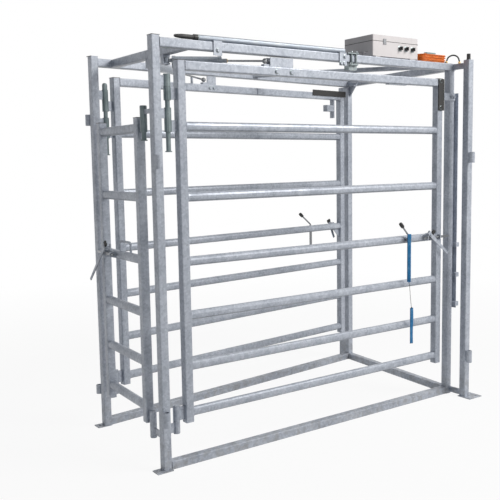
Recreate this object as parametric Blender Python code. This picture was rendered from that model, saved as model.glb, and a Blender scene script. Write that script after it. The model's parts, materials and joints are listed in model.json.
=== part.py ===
# Cattle drafting gate: a race module with two long gates swung by air cylinders and a short end gate.
# Metres, +Z up. The origin is the outer foot corner of the front left post and +X runs along the front.
import bpy
import bmesh
from math import radians, sin, cos, pi, atan2
from mathutils import Vector

for thing in list(bpy.data.objects):
    bpy.data.objects.remove(thing)

# Overall plan and heights
FRONT_LENGTH = 2.317
BACK_LENGTH = 2.404
END_WIDTH = 0.8875
LEFT_LEAN = 0.057
BACK_SKEW = radians(6.75)
POST_HEIGHT = 2.352
RAIL_DROP = 0.062
GAP = 0.0003

# Tube sections
TUBE = 0.050
WALL = 0.003
CORNER = 0.006
OVAL_HEIGHT = 0.052
OVAL_DEPTH = 0.044
OVAL_CORNER = 0.020
OVAL_WALL = 0.0025
FOOT_PLATE = 0.006

# Places of the frame's outer right corner post and of the deep back right post
CORNER_POST = (2.346, -0.139)
BACK_POST_DEPTH = 0.116

# Gates
GATE_BELOW_RAIL = 0.058
GATE_FOOT = 0.245
HINGE_TO_STILE = 0.052
HINGE_FROM_LINE_START = 0.098
BACK_HINGE_FROM_LINE_START = 0.107
LATCH_GAP_FRONT = 0.071
LATCH_GAP_BACK = 0.042
LATCH_GAP_END = 0.049
END_HINGE_FROM_LINE_START = 0.185
END_HINGE_TO_STILE = 0.039
END_GATE_BELOW_RAIL = 0.350
END_GATE_FOOT = 0.215
LOWEST_RAIL = 0.3005
RAIL_SHARES = (0.0, 0.1377, 0.2869, 0.4451, 0.6302, 0.8295)

# Hinges
BARREL = 0.020
BARREL_BORE = 0.0147
PIN = 0.0133
BARREL_SIDES = 12
ARM = 0.010

# Cylinders
CYLINDER_BELOW_RAIL = 0.029
BORE = 0.0205
BARREL_OUTSIDE = 0.0235
ROD = 0.006
FRONT_ANCHOR = (0.235, 0.265)
BACK_ANCHOR = (0.245, 0.460)
FRONT_ROD_END = 0.746
BACK_ROD_END = 0.900
FRONT_BARREL_LENGTH = 0.252
BACK_BARREL_LENGTH = 0.395

railZ = POST_HEIGHT - RAIL_DROP
railTop = railZ + TUBE
gateTop = railZ - GATE_BELOW_RAIL
axisZ = railZ - CYLINDER_BELOW_RAIL
up = Vector((0, 0, 1))


class Line:
    # A side of the module: s runs along it, t outward from its outer face and z up.
    def __init__(self, origin, along, outward):
        self.origin = Vector((origin[0], origin[1], 0))
        self.along = Vector((along[0], along[1], 0)).normalized()
        self.outward = Vector((outward[0], outward[1], 0)).normalized()

    def at(self, s, t, z):
        return self.origin + self.along * s + self.outward * t + up * z

    # Where the line meets an upright plane, less a clearance: the place at t = 0 and its change with t.
    def meet(self, point, normal, clear=0.0):
        normal = Vector((normal[0], normal[1], 0)).normalized()
        offset = (Vector((point[0], point[1], 0)) - self.origin).dot(normal)
        run = self.along.dot(normal)
        return (offset + clear) / run, -self.outward.dot(normal) / run

    # The place where it meets that plane at the depth t.
    def meetAt(self, point, normal, t):
        start, slope = self.meet(point, normal)
        return start + slope * t


backAlong = (cos(BACK_SKEW), sin(BACK_SKEW))
backNormal = (-sin(BACK_SKEW), cos(BACK_SKEW))
backCorner = (LEFT_LEAN, END_WIDTH)
front = Line((0, 0), (1, 0), (0, -1))
backStart = (backCorner[0] + backNormal[0] * TUBE, backCorner[1] + backNormal[1] * TUBE)
back = Line(backStart, backAlong, backNormal)
left = Line((0, 0), backCorner, (-END_WIDTH, LEFT_LEAN))
deepPost = back.at(BACK_LENGTH, -TUBE, 0)
rightStart = (FRONT_LENGTH, TUBE)
rightAlong = (deepPost.x - rightStart[0], deepPost.y - rightStart[1])
right = Line((rightStart[0] + TUBE, rightStart[1]), rightAlong, (rightAlong[1], -rightAlong[0]))

finishes = {
    "galvanised": ((0.62, 0.65, 0.68), 0.42, 0.85),
    "zinc": ((0.55, 0.60, 0.58), 0.38, 0.85),
    "steel": ((0.45, 0.46, 0.47), 0.30, 1.0),
    "alloy": ((0.62, 0.63, 0.66), 0.35, 0.9),
    "grey paint": ((0.60, 0.62, 0.61), 0.45, 0.0),
    "rubber": ((0.02, 0.02, 0.02), 0.75, 0.0),
    "black plastic": ((0.015, 0.015, 0.016), 0.45, 0.0),
    "orange": ((0.85, 0.22, 0.03), 0.50, 0.0),
    "teal": ((0.25, 0.33, 0.34), 0.55, 0.0),
    "blue webbing": ((0.03, 0.20, 0.55), 0.70, 0.0),
}


def finish(name, kind):
    colour, roughness, metallic = finishes[kind]
    material = bpy.data.materials.new(name + "_finish")
    material.use_nodes = True
    shader = material.node_tree.nodes["Principled BSDF"]
    shader.inputs["Base Color"].default_value = (*colour, 1)
    shader.inputs["Roughness"].default_value = roughness
    shader.inputs["Metallic"].default_value = metallic
    return material


def placeMesh(name, bm, material, pivot):
    bmesh.ops.recalc_face_normals(bm, faces=bm.faces)
    bmesh.ops.translate(bm, verts=bm.verts, vec=-Vector(pivot))
    mesh = bpy.data.meshes.new(name)
    bm.to_mesh(mesh)
    bm.free()
    mesh.materials.append(material)
    mesh.shade_smooth()
    mesh.set_sharp_from_angle(angle=radians(35))
    placed = bpy.data.objects.new(name, mesh)
    placed.location = pivot
    bpy.context.collection.objects.link(placed)
    return placed


# A sub-part from its main body and the shapes that are welded to it.
def node(name, bm, kind, pivot=(0, 0, 0), welded=None):
    material = finish(name, kind)
    piece = placeMesh(name, bm, material, pivot)
    if welded is None:
        return
    extra = placeMesh(name + "_weld", welded, material, pivot)
    extra.hide_render = True
    extra.display_type = "WIRE"
    join = piece.modifiers.new("weld", "BOOLEAN")
    join.operation = "UNION"
    join.solver = "EXACT"
    join.use_self = True
    join.object = extra


def prism(bm, outline, shift):
    low = [bm.verts.new(p) for p in outline]
    high = [bm.verts.new(Vector(p) + shift) for p in outline]
    bm.faces.new(low)
    bm.faces.new(high)
    count = len(low)
    for i in range(count):
        j = (i + 1) % count
        bm.faces.new((low[i], low[j], high[j], high[i]))


def box(bm, line, s, t, z):
    outline = [line.at(s[i], t[j], z[0]) for i, j in ((0, 0), (1, 0), (1, 1), (0, 1))]
    prism(bm, outline, up * (z[1] - z[0]))


# A pipe of any section: an outer and an inner ring at each end.
def hollow(bm, outer, inner):
    o0, o1, i1, i0 = [[bm.verts.new(p) for p in ring] for ring in (*outer, *reversed(inner))]
    count = len(o0)
    for i in range(count):
        j = (i + 1) % count
        for a, b in ((o0, o1), (o1, i1), (i1, i0), (i0, o0)):
            bm.faces.new((a[i], a[j], b[j], b[i]))


# The same closed at its far end: the inner rings stop short of it.
def cup(bm, outer, inner):
    o0, o1, i1, i0 = [[bm.verts.new(p) for p in ring] for ring in (*outer, *reversed(inner))]
    count = len(o0)
    for i in range(count):
        j = (i + 1) % count
        for a, b in ((o0, o1), (i1, i0), (i0, o0)):
            bm.faces.new((a[i], a[j], b[j], b[i]))
    bm.faces.new(o1)
    bm.faces.new(i1)


def rounded(width, height, radius, steps):
    points = []
    for signX, signY, start in ((1, 1, 0), (-1, 1, 90), (-1, -1, 180), (1, -1, 270)):
        for k in range(steps + 1):
            turn = radians(start + 90 * k / steps)
            x = signX * (width / 2 - radius) + radius * cos(turn)
            y = signY * (height / 2 - radius) + radius * sin(turn)
            points.append((x, y))
    return points


# A level tube along a line. An end is a place, or a place with its change with t where it meets a skew face.
def railTube(bm, line, start, end, t, z, radius=CORNER, wall=WALL, steps=2):
    ends = [e if isinstance(e, tuple) else (e, 0.0) for e in (start, end)]
    midT = (t[0] + t[1]) / 2
    midZ = (z[0] + z[1]) / 2
    width = t[1] - t[0]
    height = z[1] - z[0]
    rings = []
    for grow in (0.0, wall):
        shape = rounded(width - 2 * grow, height - 2 * grow, max(radius - grow, 0.001), steps)
        for s, slope in ends:
            rings.append([line.at(s + slope * (midT + a), midT + a, midZ + b) for a, b in shape])
    hollow(bm, rings[:2], rings[2:])


# An upright tube from z[0] to z[1], with its section set by the line and a closed far end if it has a cap.
def postTube(bm, line, s, t, z, radius=CORNER, wall=WALL, cap=0.0):
    midS = (s[0] + s[1]) / 2
    midT = (t[0] + t[1]) / 2
    inward = cap if z[1] > z[0] else -cap
    rings = []
    for grow in (0.0, wall):
        shape = rounded(s[1] - s[0] - 2 * grow, t[1] - t[0] - 2 * grow, max(radius - grow, 0.001), 2)
        for height in (z[0], z[1] - (inward if grow else 0.0)):
            rings.append([line.at(midS + a, midT + b, height) for a, b in shape])
    build = cup if cap else hollow
    build(bm, rings[:2], rings[2:])


def sideways(direction, facing=None):
    if facing is not None:
        first = facing
    elif abs(direction.z) > 0.9:
        first = Vector((1, 0, 0))
    else:
        first = Vector((direction.y, -direction.x, 0)).normalized()
    second = direction.cross(first).normalized()
    return first, second


def ring(centre, first, second, radius, sides):
    turns = [2 * pi * (k + 0.5) / sides for k in range(sides)]
    return [centre + (first * cos(a) + second * sin(a)) * radius for a in turns]


# A solid turned about the line from a place along a direction: a profile of places along it and radii.
def turned(bm, start, direction, profile, sides=12):
    direction = Vector(direction).normalized()
    first, second = sideways(direction)
    rings = []
    for along, radius in profile:
        centre = Vector(start) + direction * along
        rings.append([bm.verts.new(p) for p in ring(centre, first, second, radius, sides)])
    bm.faces.new(rings[0])
    bm.faces.new(rings[-1])
    for a, b in zip(rings, rings[1:]):
        for i in range(sides):
            j = (i + 1) % sides
            bm.faces.new((a[i], a[j], b[j], b[i]))


def pipe(bm, start, end, outside, bore, sides=BARREL_SIDES, facing=None):
    direction = (Vector(end) - Vector(start)).normalized()
    first, second = sideways(direction, facing)
    outer = [ring(Vector(p), first, second, outside, sides) for p in (start, end)]
    inner = [ring(Vector(p), first, second, bore, sides) for p in (start, end)]
    hollow(bm, outer, inner)


# A bar swept through points.
def bent(bm, points, radius, sides=8):
    points = [Vector(p) for p in points]
    steps = [(b - a).normalized() for a, b in zip(points, points[1:])]
    tangents = [steps[0]] + [(a + b).normalized() for a, b in zip(steps, steps[1:])] + [steps[-1]]
    first, second = sideways(tangents[0])
    rings = []
    for place, (tangent, previous) in enumerate(zip(tangents, [tangents[0]] + tangents)):
        turn = previous.rotation_difference(tangent)
        first = turn @ first
        second = turn @ second
        rings.append([bm.verts.new(p) for p in ring(points[place], first, second, radius, sides)])
    bm.faces.new(rings[0])
    bm.faces.new(rings[-1])
    for a, b in zip(rings, rings[1:]):
        for i in range(sides):
            j = (i + 1) % sides
            bm.faces.new((a[i], a[j], b[j], b[i]))


# A rectangular plate with a round hole: centre, half sizes along two directions, thickness along the third.
def holedPlate(bm, centre, halfA, halfB, shift, hole, holeRadius, perSide=3):
    rim = []
    corners = ((1, -1), (1, 1), (-1, 1), (-1, -1))
    for (a0, b0), (a1, b1) in zip(corners, corners[1:] + corners[:1]):
        for k in range(perSide):
            rim.append((a0 + (a1 - a0) * k / perSide, b0 + (b1 - b0) * k / perSide))
    unitA = Vector(halfA).normalized()
    unitB = Vector(halfB).normalized()
    rings = []
    for level in (Vector((0, 0, 0)), Vector(shift)):
        outline = [Vector(centre) + Vector(halfA) * a + Vector(halfB) * b + level for a, b in rim]
        middle = Vector(hole) + level
        turns = [atan2((p - middle).dot(unitB), (p - middle).dot(unitA)) for p in outline]
        bore = [middle + (unitA * cos(a) + unitB * sin(a)) * holeRadius for a in turns]
        rings.append((outline, bore))
    hollow(bm, (rings[0][0], rings[1][0]), (rings[0][1], rings[1][1]))


def hexHead(bm, start, direction, across, height):
    turned(bm, start, direction, ((0, across / 2), (height, across / 2)), sides=6)


# A flat strip through places (s, t, z) of a line, its width turned outward by an angle.
def strip(bm, line, places, width, thickness, lean):
    rings = []
    wide = (cos(lean) * width / 2, sin(lean) * width / 2)
    thick = (-sin(lean) * thickness / 2, cos(lean) * thickness / 2)
    for s, t, z in places:
        corners = ((-1, -1), (1, -1), (1, 1), (-1, 1))
        offsets = [(a * wide[0] + b * thick[0], a * wide[1] + b * thick[1]) for a, b in corners]
        rings.append([bm.verts.new(line.at(s + ds, t + dt, z)) for ds, dt in offsets])
    bm.faces.new(rings[0])
    bm.faces.new(rings[-1])
    for a, b in zip(rings, rings[1:]):
        for i in range(4):
            j = (i + 1) % 4
            bm.faces.new((a[i], a[j], b[j], b[i]))


# The frame: posts with what is welded to them, rails and feet
WELD = 0.0015
END_RAIL_X = 0.205
CAP = 0.003
FRONT_RAIL_OVERHANG = 0.007
BRACE_START = 2.20
BRACE_RUN = (-0.80, 1.02)
BRACE_HALF = 0.020
BRACE_Z = (0.012, 0.042)
FLOOR_RAIL_TOP = 0.050

postB = Line(backCorner, (1, 0), (0, -1))
postD = Line(CORNER_POST, (1, 0), (0, -1))
postE = Line((deepPost.x, deepPost.y), (1, 0), (0, -1))
tubeT = (-TUBE, 0)
footZ = FOOT_PLATE + GAP
endTop = railZ - END_GATE_BELOW_RAIL

# Hinges: solid barrels of the frame carry the pins, and bored barrels of the gates turn on them
HINGE_T = -TUBE / 2
TALL_TOP_FRAME = (-0.1445, -0.081)
TALL_TOP_GATE = (-0.214, -0.1455)
TALL_MID_FRAME = (-0.313, -0.253)
TALL_MID_GATE = (-0.381, -0.314)
TALL_LOW_FRAME = (-0.046, 0.0155)
TALL_LOW_GATE = (0.0165, 0.101)
TALL_PIN_TAIL = -0.481
END_TOP_FRAME = (-0.009, 0.055)
END_TOP_GATE = (-0.084, -0.010)
END_LOW_FRAME = (-0.071, 0.0035)
END_LOW_GATE = (0.0045, 0.073)
PIN_HEAD = 0.019
PIN_HEAD_HEIGHT = 0.006
DOME_HEIGHT = 0.045
barrelWeld = (BARREL_BORE + BARREL * cos(pi / BARREL_SIDES)) / 2


def shifted(pair, base):
    return base + pair[0], base + pair[1]


def arm(bm, line, axisS, z, reach):
    side = 1 if reach > axisS else -1
    ends = sorted((axisS + side * barrelWeld, reach + side * WELD))
    box(bm, line, ends, (HINGE_T - ARM / 2, HINGE_T + ARM / 2), z)


def frameBarrel(bm, line, axisS, z, reach, armZ=None):
    turned(bm, line.at(axisS, HINGE_T, z[0]), up, ((0, BARREL), (z[1] - z[0], BARREL)), BARREL_SIDES)
    arm(bm, line, axisS, armZ or (z[0] + 0.004, z[1] - 0.004), reach)


def gateBarrel(bm, line, axisS, z, reach):
    ends = [line.at(axisS, HINGE_T, height) for height in z]
    pipe(bm, *ends, BARREL, BARREL_BORE, facing=line.along)
    arm(bm, line, axisS, (z[0] + 0.004, z[1] - 0.004), reach)


def hingePin(bm, line, axisS, z, domed=False):
    length = z[1] - z[0]
    top = [(length, PIN), (length, PIN_HEAD), (length + PIN_HEAD_HEIGHT, PIN_HEAD)]
    if domed:
        dome = ((0, 0.0165), (0.7, 0.0165), (0.92, 0.013), (1, 0.006))
        top = [(length, PIN)] + [(length + DOME_HEIGHT * part, radius) for part, radius in dome]
    profile = [(-PIN_HEAD_HEIGHT, PIN_HEAD), (0, PIN_HEAD), (0, PIN)] + top
    turned(bm, line.at(axisS, HINGE_T, z[0]), up, profile, BARREL_SIDES)


tallFrame = [shifted(TALL_TOP_FRAME, gateTop), shifted(TALL_MID_FRAME, gateTop)]
tallFrame.append(shifted(TALL_LOW_FRAME, GATE_FOOT))
tallGate = [shifted(TALL_TOP_GATE, gateTop), shifted(TALL_MID_GATE, gateTop)]
tallGate.append(shifted(TALL_LOW_GATE, GATE_FOOT))
endFrame = (shifted(END_TOP_FRAME, endTop), shifted(END_LOW_FRAME, END_GATE_FOOT))
endGate = (shifted(END_TOP_GATE, endTop), shifted(END_LOW_GATE, END_GATE_FOOT))


def tallHinge(bm, line, axisS, face, domed):
    for z in tallFrame:
        frameBarrel(bm, line, axisS, z, face)
    hingePin(bm, line, axisS, (gateTop + TALL_PIN_TAIL, tallFrame[0][1] - WELD), domed)
    hingePin(bm, line, axisS, (tallFrame[2][0] + WELD, tallGate[2][1] + 2 * GAP))


# Lugs for the neighbouring panels: barrels standing off the posts
PANEL_LUG_OUT = 0.030
PANEL_LUG_S = 0.0055
PANEL_LUG_UPPER = (1.657, 1.730)
PANEL_LUG_LOWER = (0.261, 0.345)
PANEL_LUG_BACK_UPPER = (1.931, 1.999)
PANEL_LUG_BACK_LOWER = (0.205, 0.262)


def panelLug(bm, line, s, t, z):
    side = 1 if t > 0 else -1
    face = 0 if t > 0 else -TUBE
    pipe(bm, line.at(s, t, z[0]), line.at(s, t, z[1]), BARREL, BARREL_BORE, facing=line.along)
    reach = sorted((face - side * WELD, t - side * barrelWeld))
    box(bm, line, (s, s + ARM), reach, (z[0] + 0.004, z[1] - 0.004))


def onePost(name, line, s, depth, z, cap, welded=None):
    bm = bmesh.new()
    postTube(bm, line, (s, s + TUBE), (-depth, 0), z, cap=cap)
    node(name, bm, "galvanised", welded=welded)


bm = bmesh.new()
tallHinge(bm, front, HINGE_FROM_LINE_START, TUBE, False)
aBackFace = left.meetAt((0, TUBE), (0, 1), HINGE_T)
for z in endFrame:
    frameBarrel(bm, left, END_HINGE_FROM_LINE_START, z, aBackFace, (z[0] + 0.022, z[1] - 0.018))
hingePin(bm, left, END_HINGE_FROM_LINE_START, (endGate[0][0] - 0.040, endFrame[0][1] - WELD))
hingePin(bm, left, END_HINGE_FROM_LINE_START, (endFrame[1][0] + WELD, endGate[1][1] + 2 * GAP))
for z in (PANEL_LUG_UPPER, PANEL_LUG_LOWER):
    panelLug(bm, front, PANEL_LUG_S, PANEL_LUG_OUT, z)
onePost("post_front_left", front, 0, TUBE, (footZ, POST_HEIGHT), CAP, bm)

bm = bmesh.new()
bFace = (backCorner[0] + TUBE, 0)
tallHinge(bm, back, BACK_HINGE_FROM_LINE_START, back.meetAt(bFace, (1, 0), HINGE_T), True)
for z in (PANEL_LUG_BACK_UPPER, PANEL_LUG_BACK_LOWER):
    panelLug(bm, postB, PANEL_LUG_S, -TUBE - PANEL_LUG_OUT, z)
onePost("post_back_left", postB, 0, TUBE, (footZ, POST_HEIGHT), CAP, bm)

# Front right post with the keep channel on its side and the strap plate on its face
CHANNEL_DEPTH = 0.043
CHANNEL_T = (-0.032, 0.000)
CHANNEL_Z = (0.620, 2.140)
CHANNEL_WALL = 0.003
CHANNEL_LUGS = (0.640, 0.850, 1.065)
STRAP_PLATE_LEFT = -0.061
STRAP_PLATE_Z = (2.086, 2.136)
STRAP_PLATE = 0.006

bm = bmesh.new()
channelS = (FRONT_LENGTH + TUBE - WELD, FRONT_LENGTH + TUBE + CHANNEL_DEPTH)
outline = [(channelS[0], CHANNEL_T[0]), (channelS[1], CHANNEL_T[0]), (channelS[1], CHANNEL_T[1])]
inner = (channelS[1] - CHANNEL_WALL, CHANNEL_T[0] + CHANNEL_WALL)
outline += [(inner[0], CHANNEL_T[1]), inner, (channelS[0], inner[1])]
prism(bm, [front.at(s, t, CHANNEL_Z[0]) for s, t in outline], up * (CHANNEL_Z[1] - CHANNEL_Z[0]))
for z in CHANNEL_LUGS:
    lugZ = (z, z + 0.030)
    box(bm, front, (channelS[1] - 0.034, channelS[1] - 0.001), shifted((-0.006, 0.022), CHANNEL_T[1]), lugZ)
    box(bm, front, (channelS[0], channelS[1] - 0.002), shifted((-0.010, -0.004), CHANNEL_T[1]), lugZ)
strapS = (FRONT_LENGTH + STRAP_PLATE_LEFT, FRONT_LENGTH + TUBE)
box(bm, front, strapS, (-WELD, STRAP_PLATE), STRAP_PLATE_Z)
for s in (FRONT_LENGTH + 0.012, FRONT_LENGTH + 0.038):
    place = front.at(s, STRAP_PLATE - WELD, (STRAP_PLATE_Z[0] + STRAP_PLATE_Z[1]) / 2)
    hexHead(bm, place, front.outward, 0.018, 0.009)
onePost("post_front_right", front, FRONT_LENGTH, TUBE, (0, railZ - GAP), 0, bm)

# Outer right post with its ties to the front: one meets the top rail, one the front right post's foot
TIE_S = (2.351, 2.366)
TIE_TOP = (0.006, 0.044)
TIE_FOOT = (0.010, 0.048)
bm = bmesh.new()
tieGap = -CORNER_POST[1] - TUBE
box(bm, front, TIE_S, (GAP, tieGap + WELD), shifted(TIE_TOP, railZ))
box(bm, front, TIE_S, (GAP, tieGap + WELD), TIE_FOOT)
for z in (PANEL_LUG_UPPER, PANEL_LUG_LOWER):
    panelLug(bm, postD, PANEL_LUG_S, PANEL_LUG_OUT, z)
onePost("post_corner_right", postD, 0, TUBE, (footZ, POST_HEIGHT), CAP, bm)
onePost("post_back_right", postE, 0, BACK_POST_DEPTH, (footZ, railZ - GAP), 0)


# A foot plate under a post: it reaches past the post by the given lengths, with a hole for an anchor.
def footPlate(name, line, reachS, reachT, hole):
    bm = bmesh.new()
    middle = line.at((reachS[0] + reachS[1]) / 2, (reachT[0] + reachT[1]) / 2, 0)
    halfS = line.along * (reachS[1] - reachS[0]) / 2
    halfT = line.outward * (reachT[1] - reachT[0]) / 2
    holedPlate(bm, middle, halfS, halfT, up * FOOT_PLATE, line.at(*hole, 0), 0.009)
    node(name, bm, "galvanised")


footPlate("foot_plate_front_left", front, (-0.048, TUBE), (-TUBE, 0.015), (-0.026, -0.018))
footPlate("foot_plate_back_left", postB, (-0.045, TUBE), (-TUBE - 0.015, 0), (-0.024, -0.030))
footPlate("foot_plate_corner_right", postD, (-0.013, 0.115), (-TUBE, 0.058), (0.085, 0.030))
footPlate("foot_plate_back_right", postE, (0, 0.110), (-BACK_POST_DEPTH - 0.014, 0), (0.082, -0.075))

innerBack = (backCorner, backNormal)
frontInside = ((0, TUBE), (0, 1))
eLeft = (deepPost.x, deepPost.y)
eRight = (deepPost.x + TUBE, deepPost.y)
topZ = (railZ, railTop)
floorZ = (0, FLOOR_RAIL_TOP)


def oneRail(name, line, start, end, z, welded=None, t=tubeT):
    bm = bmesh.new()
    railTube(bm, line, start, end, t, z)
    node(name, bm, "galvanised", welded=welded)


oneRail("top_rail_front", front, TUBE + GAP, FRONT_LENGTH + TUBE + FRONT_RAIL_OVERHANG, topZ)
oneRail("top_rail_back", back, back.meet(bFace, (1, 0), GAP), back.meet(eRight, (1, 0)), topZ)
oneRail("floor_rail_front", front, TUBE + GAP, FRONT_LENGTH - GAP, floorZ)
oneRail("floor_rail_back", back, back.meet(bFace, (1, 0), GAP), back.meet(eLeft, (1, 0), -GAP), floorZ)
oneRail("floor_rail_right", right, right.meet(*frontInside, GAP), right.meet(eLeft, (0, 1), -GAP), floorZ)
brace = Line((BRACE_START, TUBE), BRACE_RUN, (-BRACE_RUN[1], BRACE_RUN[0]))
braceEnds = (brace.meet(*frontInside, GAP), brace.meet(*innerBack, -GAP))
oneRail("top_brace", brace, *braceEnds, shifted(BRACE_Z, railZ), t=(-BRACE_HALF, BRACE_HALF))

# Right top rail with the gusset at the back post
GUSSET = 0.080
gussetS = right.meet(eLeft, (0, 1), -GAP)[0] - 0.004
bm = bmesh.new()
gusset = [right.at(gussetS, -0.028, railZ + WELD), right.at(gussetS - GUSSET, -0.028, railZ + WELD)]
gusset.append(right.at(gussetS, -0.028, railZ - GUSSET))
prism(bm, gusset, right.outward * 0.006)
oneRail("top_rail_right", right, right.meet(*frontInside, GAP), right.meet(*innerBack, -GAP), topZ, bm)

# Left top rail with a clevis and an upright pin under it for each cylinder
EYE = 0.016
EYE_BORE = 0.0075
EYE_HALF = 0.014
CLEVIS_PIN = 0.0065
CLEVIS_HALF = 0.016
CLEVIS_PLATE = 0.008
CLEVIS_BACK = (-0.030, -0.022)


def clevis(bm, place):
    at = Line(place, (1, 0), (0, -1))
    reach = (CLEVIS_BACK[0], CLEVIS_HALF)
    half = (-CLEVIS_HALF, CLEVIS_HALF)
    upper = axisZ + EYE_HALF + 0.0015
    lower = axisZ - EYE_HALF - 0.0015
    box(bm, at, reach, half, (upper, railZ + WELD))
    box(bm, at, reach, half, (lower - CLEVIS_PLATE, lower))
    box(bm, at, CLEVIS_BACK, half, (lower - 0.001, upper + 0.001))
    turned(bm, at.at(0, 0, lower - 0.001), up, ((0, CLEVIS_PIN), (upper - lower + 0.002, CLEVIS_PIN)))
    hexHead(bm, at.at(0, 0, lower - CLEVIS_PLATE + 0.001), -up, 0.018, 0.005)


bm = bmesh.new()
clevis(bm, FRONT_ANCHOR)
clevis(bm, BACK_ANCHOR)
endRail = Line((END_RAIL_X, 0), (0, 1), (-1, 0))
oneRail("top_rail_left", endRail, TUBE + GAP, endRail.meet(*innerBack, -GAP), topZ, bm)

# Gates. The outer face of a gate lies at t = 0 of its line, and the oval rails in the middle of its depth.
OVAL_T = (-TUBE / 2 - OVAL_DEPTH / 2, -TUBE / 2 + OVAL_DEPTH / 2)
LATCH_BOLT = 0.008
LATCH_BOLT_T = 0.0165
LATCH_PLATE = 0.006
LATCH_PLATE_LENGTH = 0.150
LEVER_T = (0.0300, 0.0360)
LEVER_ABOVE_BOLT = 0.047
LEVER_NEAR_BOLT = 0.020
LEVER_HALF_WIDTH = 0.013
LEVER_STUD = 0.009
LIFT_PIN = 0.0105
LIFT_T = 0.0165
FRONT_PIN_S = 1.901
BACK_PIN_S = 2.016
PIN_FOOT = 0.199
railFace = OVAL_T[1]
railSpan = gateTop - TUBE / 2 - LOWEST_RAIL
railHeights = [LOWEST_RAIL + share * railSpan for share in RAIL_SHARES]
boltZ = railHeights[3]
lines = {"front_gate": front, "back_gate": back, "end_gate": left}
pivots = {
    "front_gate": HINGE_FROM_LINE_START,
    "back_gate": BACK_HINGE_FROM_LINE_START,
    "end_gate": END_HINGE_FROM_LINE_START,
}
latchEdges = {
    "front_gate": FRONT_LENGTH - LATCH_GAP_FRONT,
    "back_gate": BACK_LENGTH - LATCH_GAP_BACK,
    "end_gate": left.meet((0, END_WIDTH), (0, 1))[0] - LATCH_GAP_END,
}


def gatePivot(name):
    return lines[name].at(pivots[name], HINGE_T, 0)


def hingeStile(name, s, z, barrels):
    line = lines[name]
    bm = bmesh.new()
    postTube(bm, line, (s, s + TUBE), tubeT, z, cap=CAP)
    welded = bmesh.new()
    for barrelZ in barrels:
        gateBarrel(welded, line, pivots[name], barrelZ, s)
    node(name + "_hinge_stile", bm, "galvanised", gatePivot(name), welded)


# The latch stile with the oval rails on it, and whatever is welded to them.
def ladder(name, hingeStileS, z, welded):
    line = lines[name]
    edge = latchEdges[name]
    bm = bmesh.new()
    postTube(bm, line, (edge - TUBE, edge), tubeT, z, cap=CAP)
    half = OVAL_HEIGHT / 2
    for height in railHeights:
        ends = (hingeStileS + TUBE + GAP, edge - TUBE + WELD)
        railTube(welded, line, *ends, OVAL_T, (height - half, height + half), OVAL_CORNER, OVAL_WALL, 3)
    node(name + "_rails", bm, "galvanised", gatePivot(name), welded)


# The slam latch on the fourth rail from below: a plate with two eyes, a bolt through them and a lever above.
def latch(name, fittings, tipS, travel, leverEnd, pivotShift=0.0, pivotRise=LEVER_ABOVE_BOLT):
    line = lines[name]
    plateS = (tipS - travel - 0.045 - LATCH_PLATE_LENGTH, tipS - travel - 0.045)
    plateTop = railFace + LATCH_PLATE
    box(fittings, line, plateS, (railFace - WELD, plateTop), (boltZ - 0.020, boltZ + 0.020))
    eyeT = (plateTop - WELD, LATCH_BOLT_T + 0.0125)
    for s in (plateS[0] + 0.010, plateS[1] - 0.016):
        middle = line.at(s, (eyeT[0] + eyeT[1]) / 2, boltZ)
        halfT = line.outward * (eyeT[1] - eyeT[0]) / 2
        hole = line.at(s, LATCH_BOLT_T, boltZ)
        holedPlate(fittings, middle, halfT, up * 0.016, line.along * 0.006, hole, LATCH_BOLT + 0.0012)
    pivotS = (plateS[0] + plateS[1]) / 2 + pivotShift
    pivotZ = boltZ + pivotRise
    pad = shifted((-0.014, 0.014), pivotS)
    box(fittings, line, pad, (railFace, plateTop), (boltZ + 0.018, pivotZ + 0.012))
    studLength = LEVER_T[0] - GAP - plateTop + WELD
    stud = ((0, LEVER_STUD), (studLength, LEVER_STUD))
    turned(fittings, line.at(pivotS, plateTop - WELD, pivotZ), line.outward, stud, 10)
    bolt = bmesh.new()
    start = line.at(plateS[0] - 0.020, LATCH_BOLT_T, boltZ)
    chamfer = 0.003
    length = tipS - plateS[0] + 0.020
    shape = ((0, LATCH_BOLT), (length - chamfer, LATCH_BOLT), (length, LATCH_BOLT - chamfer))
    turned(bolt, start, line.along, shape, 12)
    node(name + "_latch_bolt", bolt, "steel", start)
    reach = Vector((leverEnd[0] - pivotS, leverEnd[1] - pivotZ))
    along = reach.normalized()
    across = Vector((-along.y, along.x))
    width = LEVER_HALF_WIDTH
    grip = -0.014
    tail = -0.034
    thickness = LEVER_T[1] - LEVER_T[0]
    bar = [along * (grip - WELD) + across * width, along * (grip - WELD) - across * width]
    bar += [reach - across * width * 0.6, reach + across * width * 0.6]
    lever = bmesh.new()
    prism(lever, [line.at(pivotS + p.x, LEVER_T[0], pivotZ + p.y) for p in bar], line.outward * thickness)
    handle = [along * grip - across * width * 1.2, along * grip + across * width * 1.2]
    handle += [along * tail + across * width, along * tail - across * width]
    knob = bmesh.new()
    outline = [line.at(pivotS + p.x, LEVER_T[0] - 0.0005, pivotZ + p.y) for p in handle]
    prism(knob, outline, line.outward * (thickness + 0.006))
    hexHead(knob, line.at(pivotS, LEVER_T[1] - WELD, pivotZ), line.outward, 0.018, 0.008)
    node(name + "_latch_lever", lever, "galvanised", line.at(pivotS, LEVER_T[0], pivotZ), knob)


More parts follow.
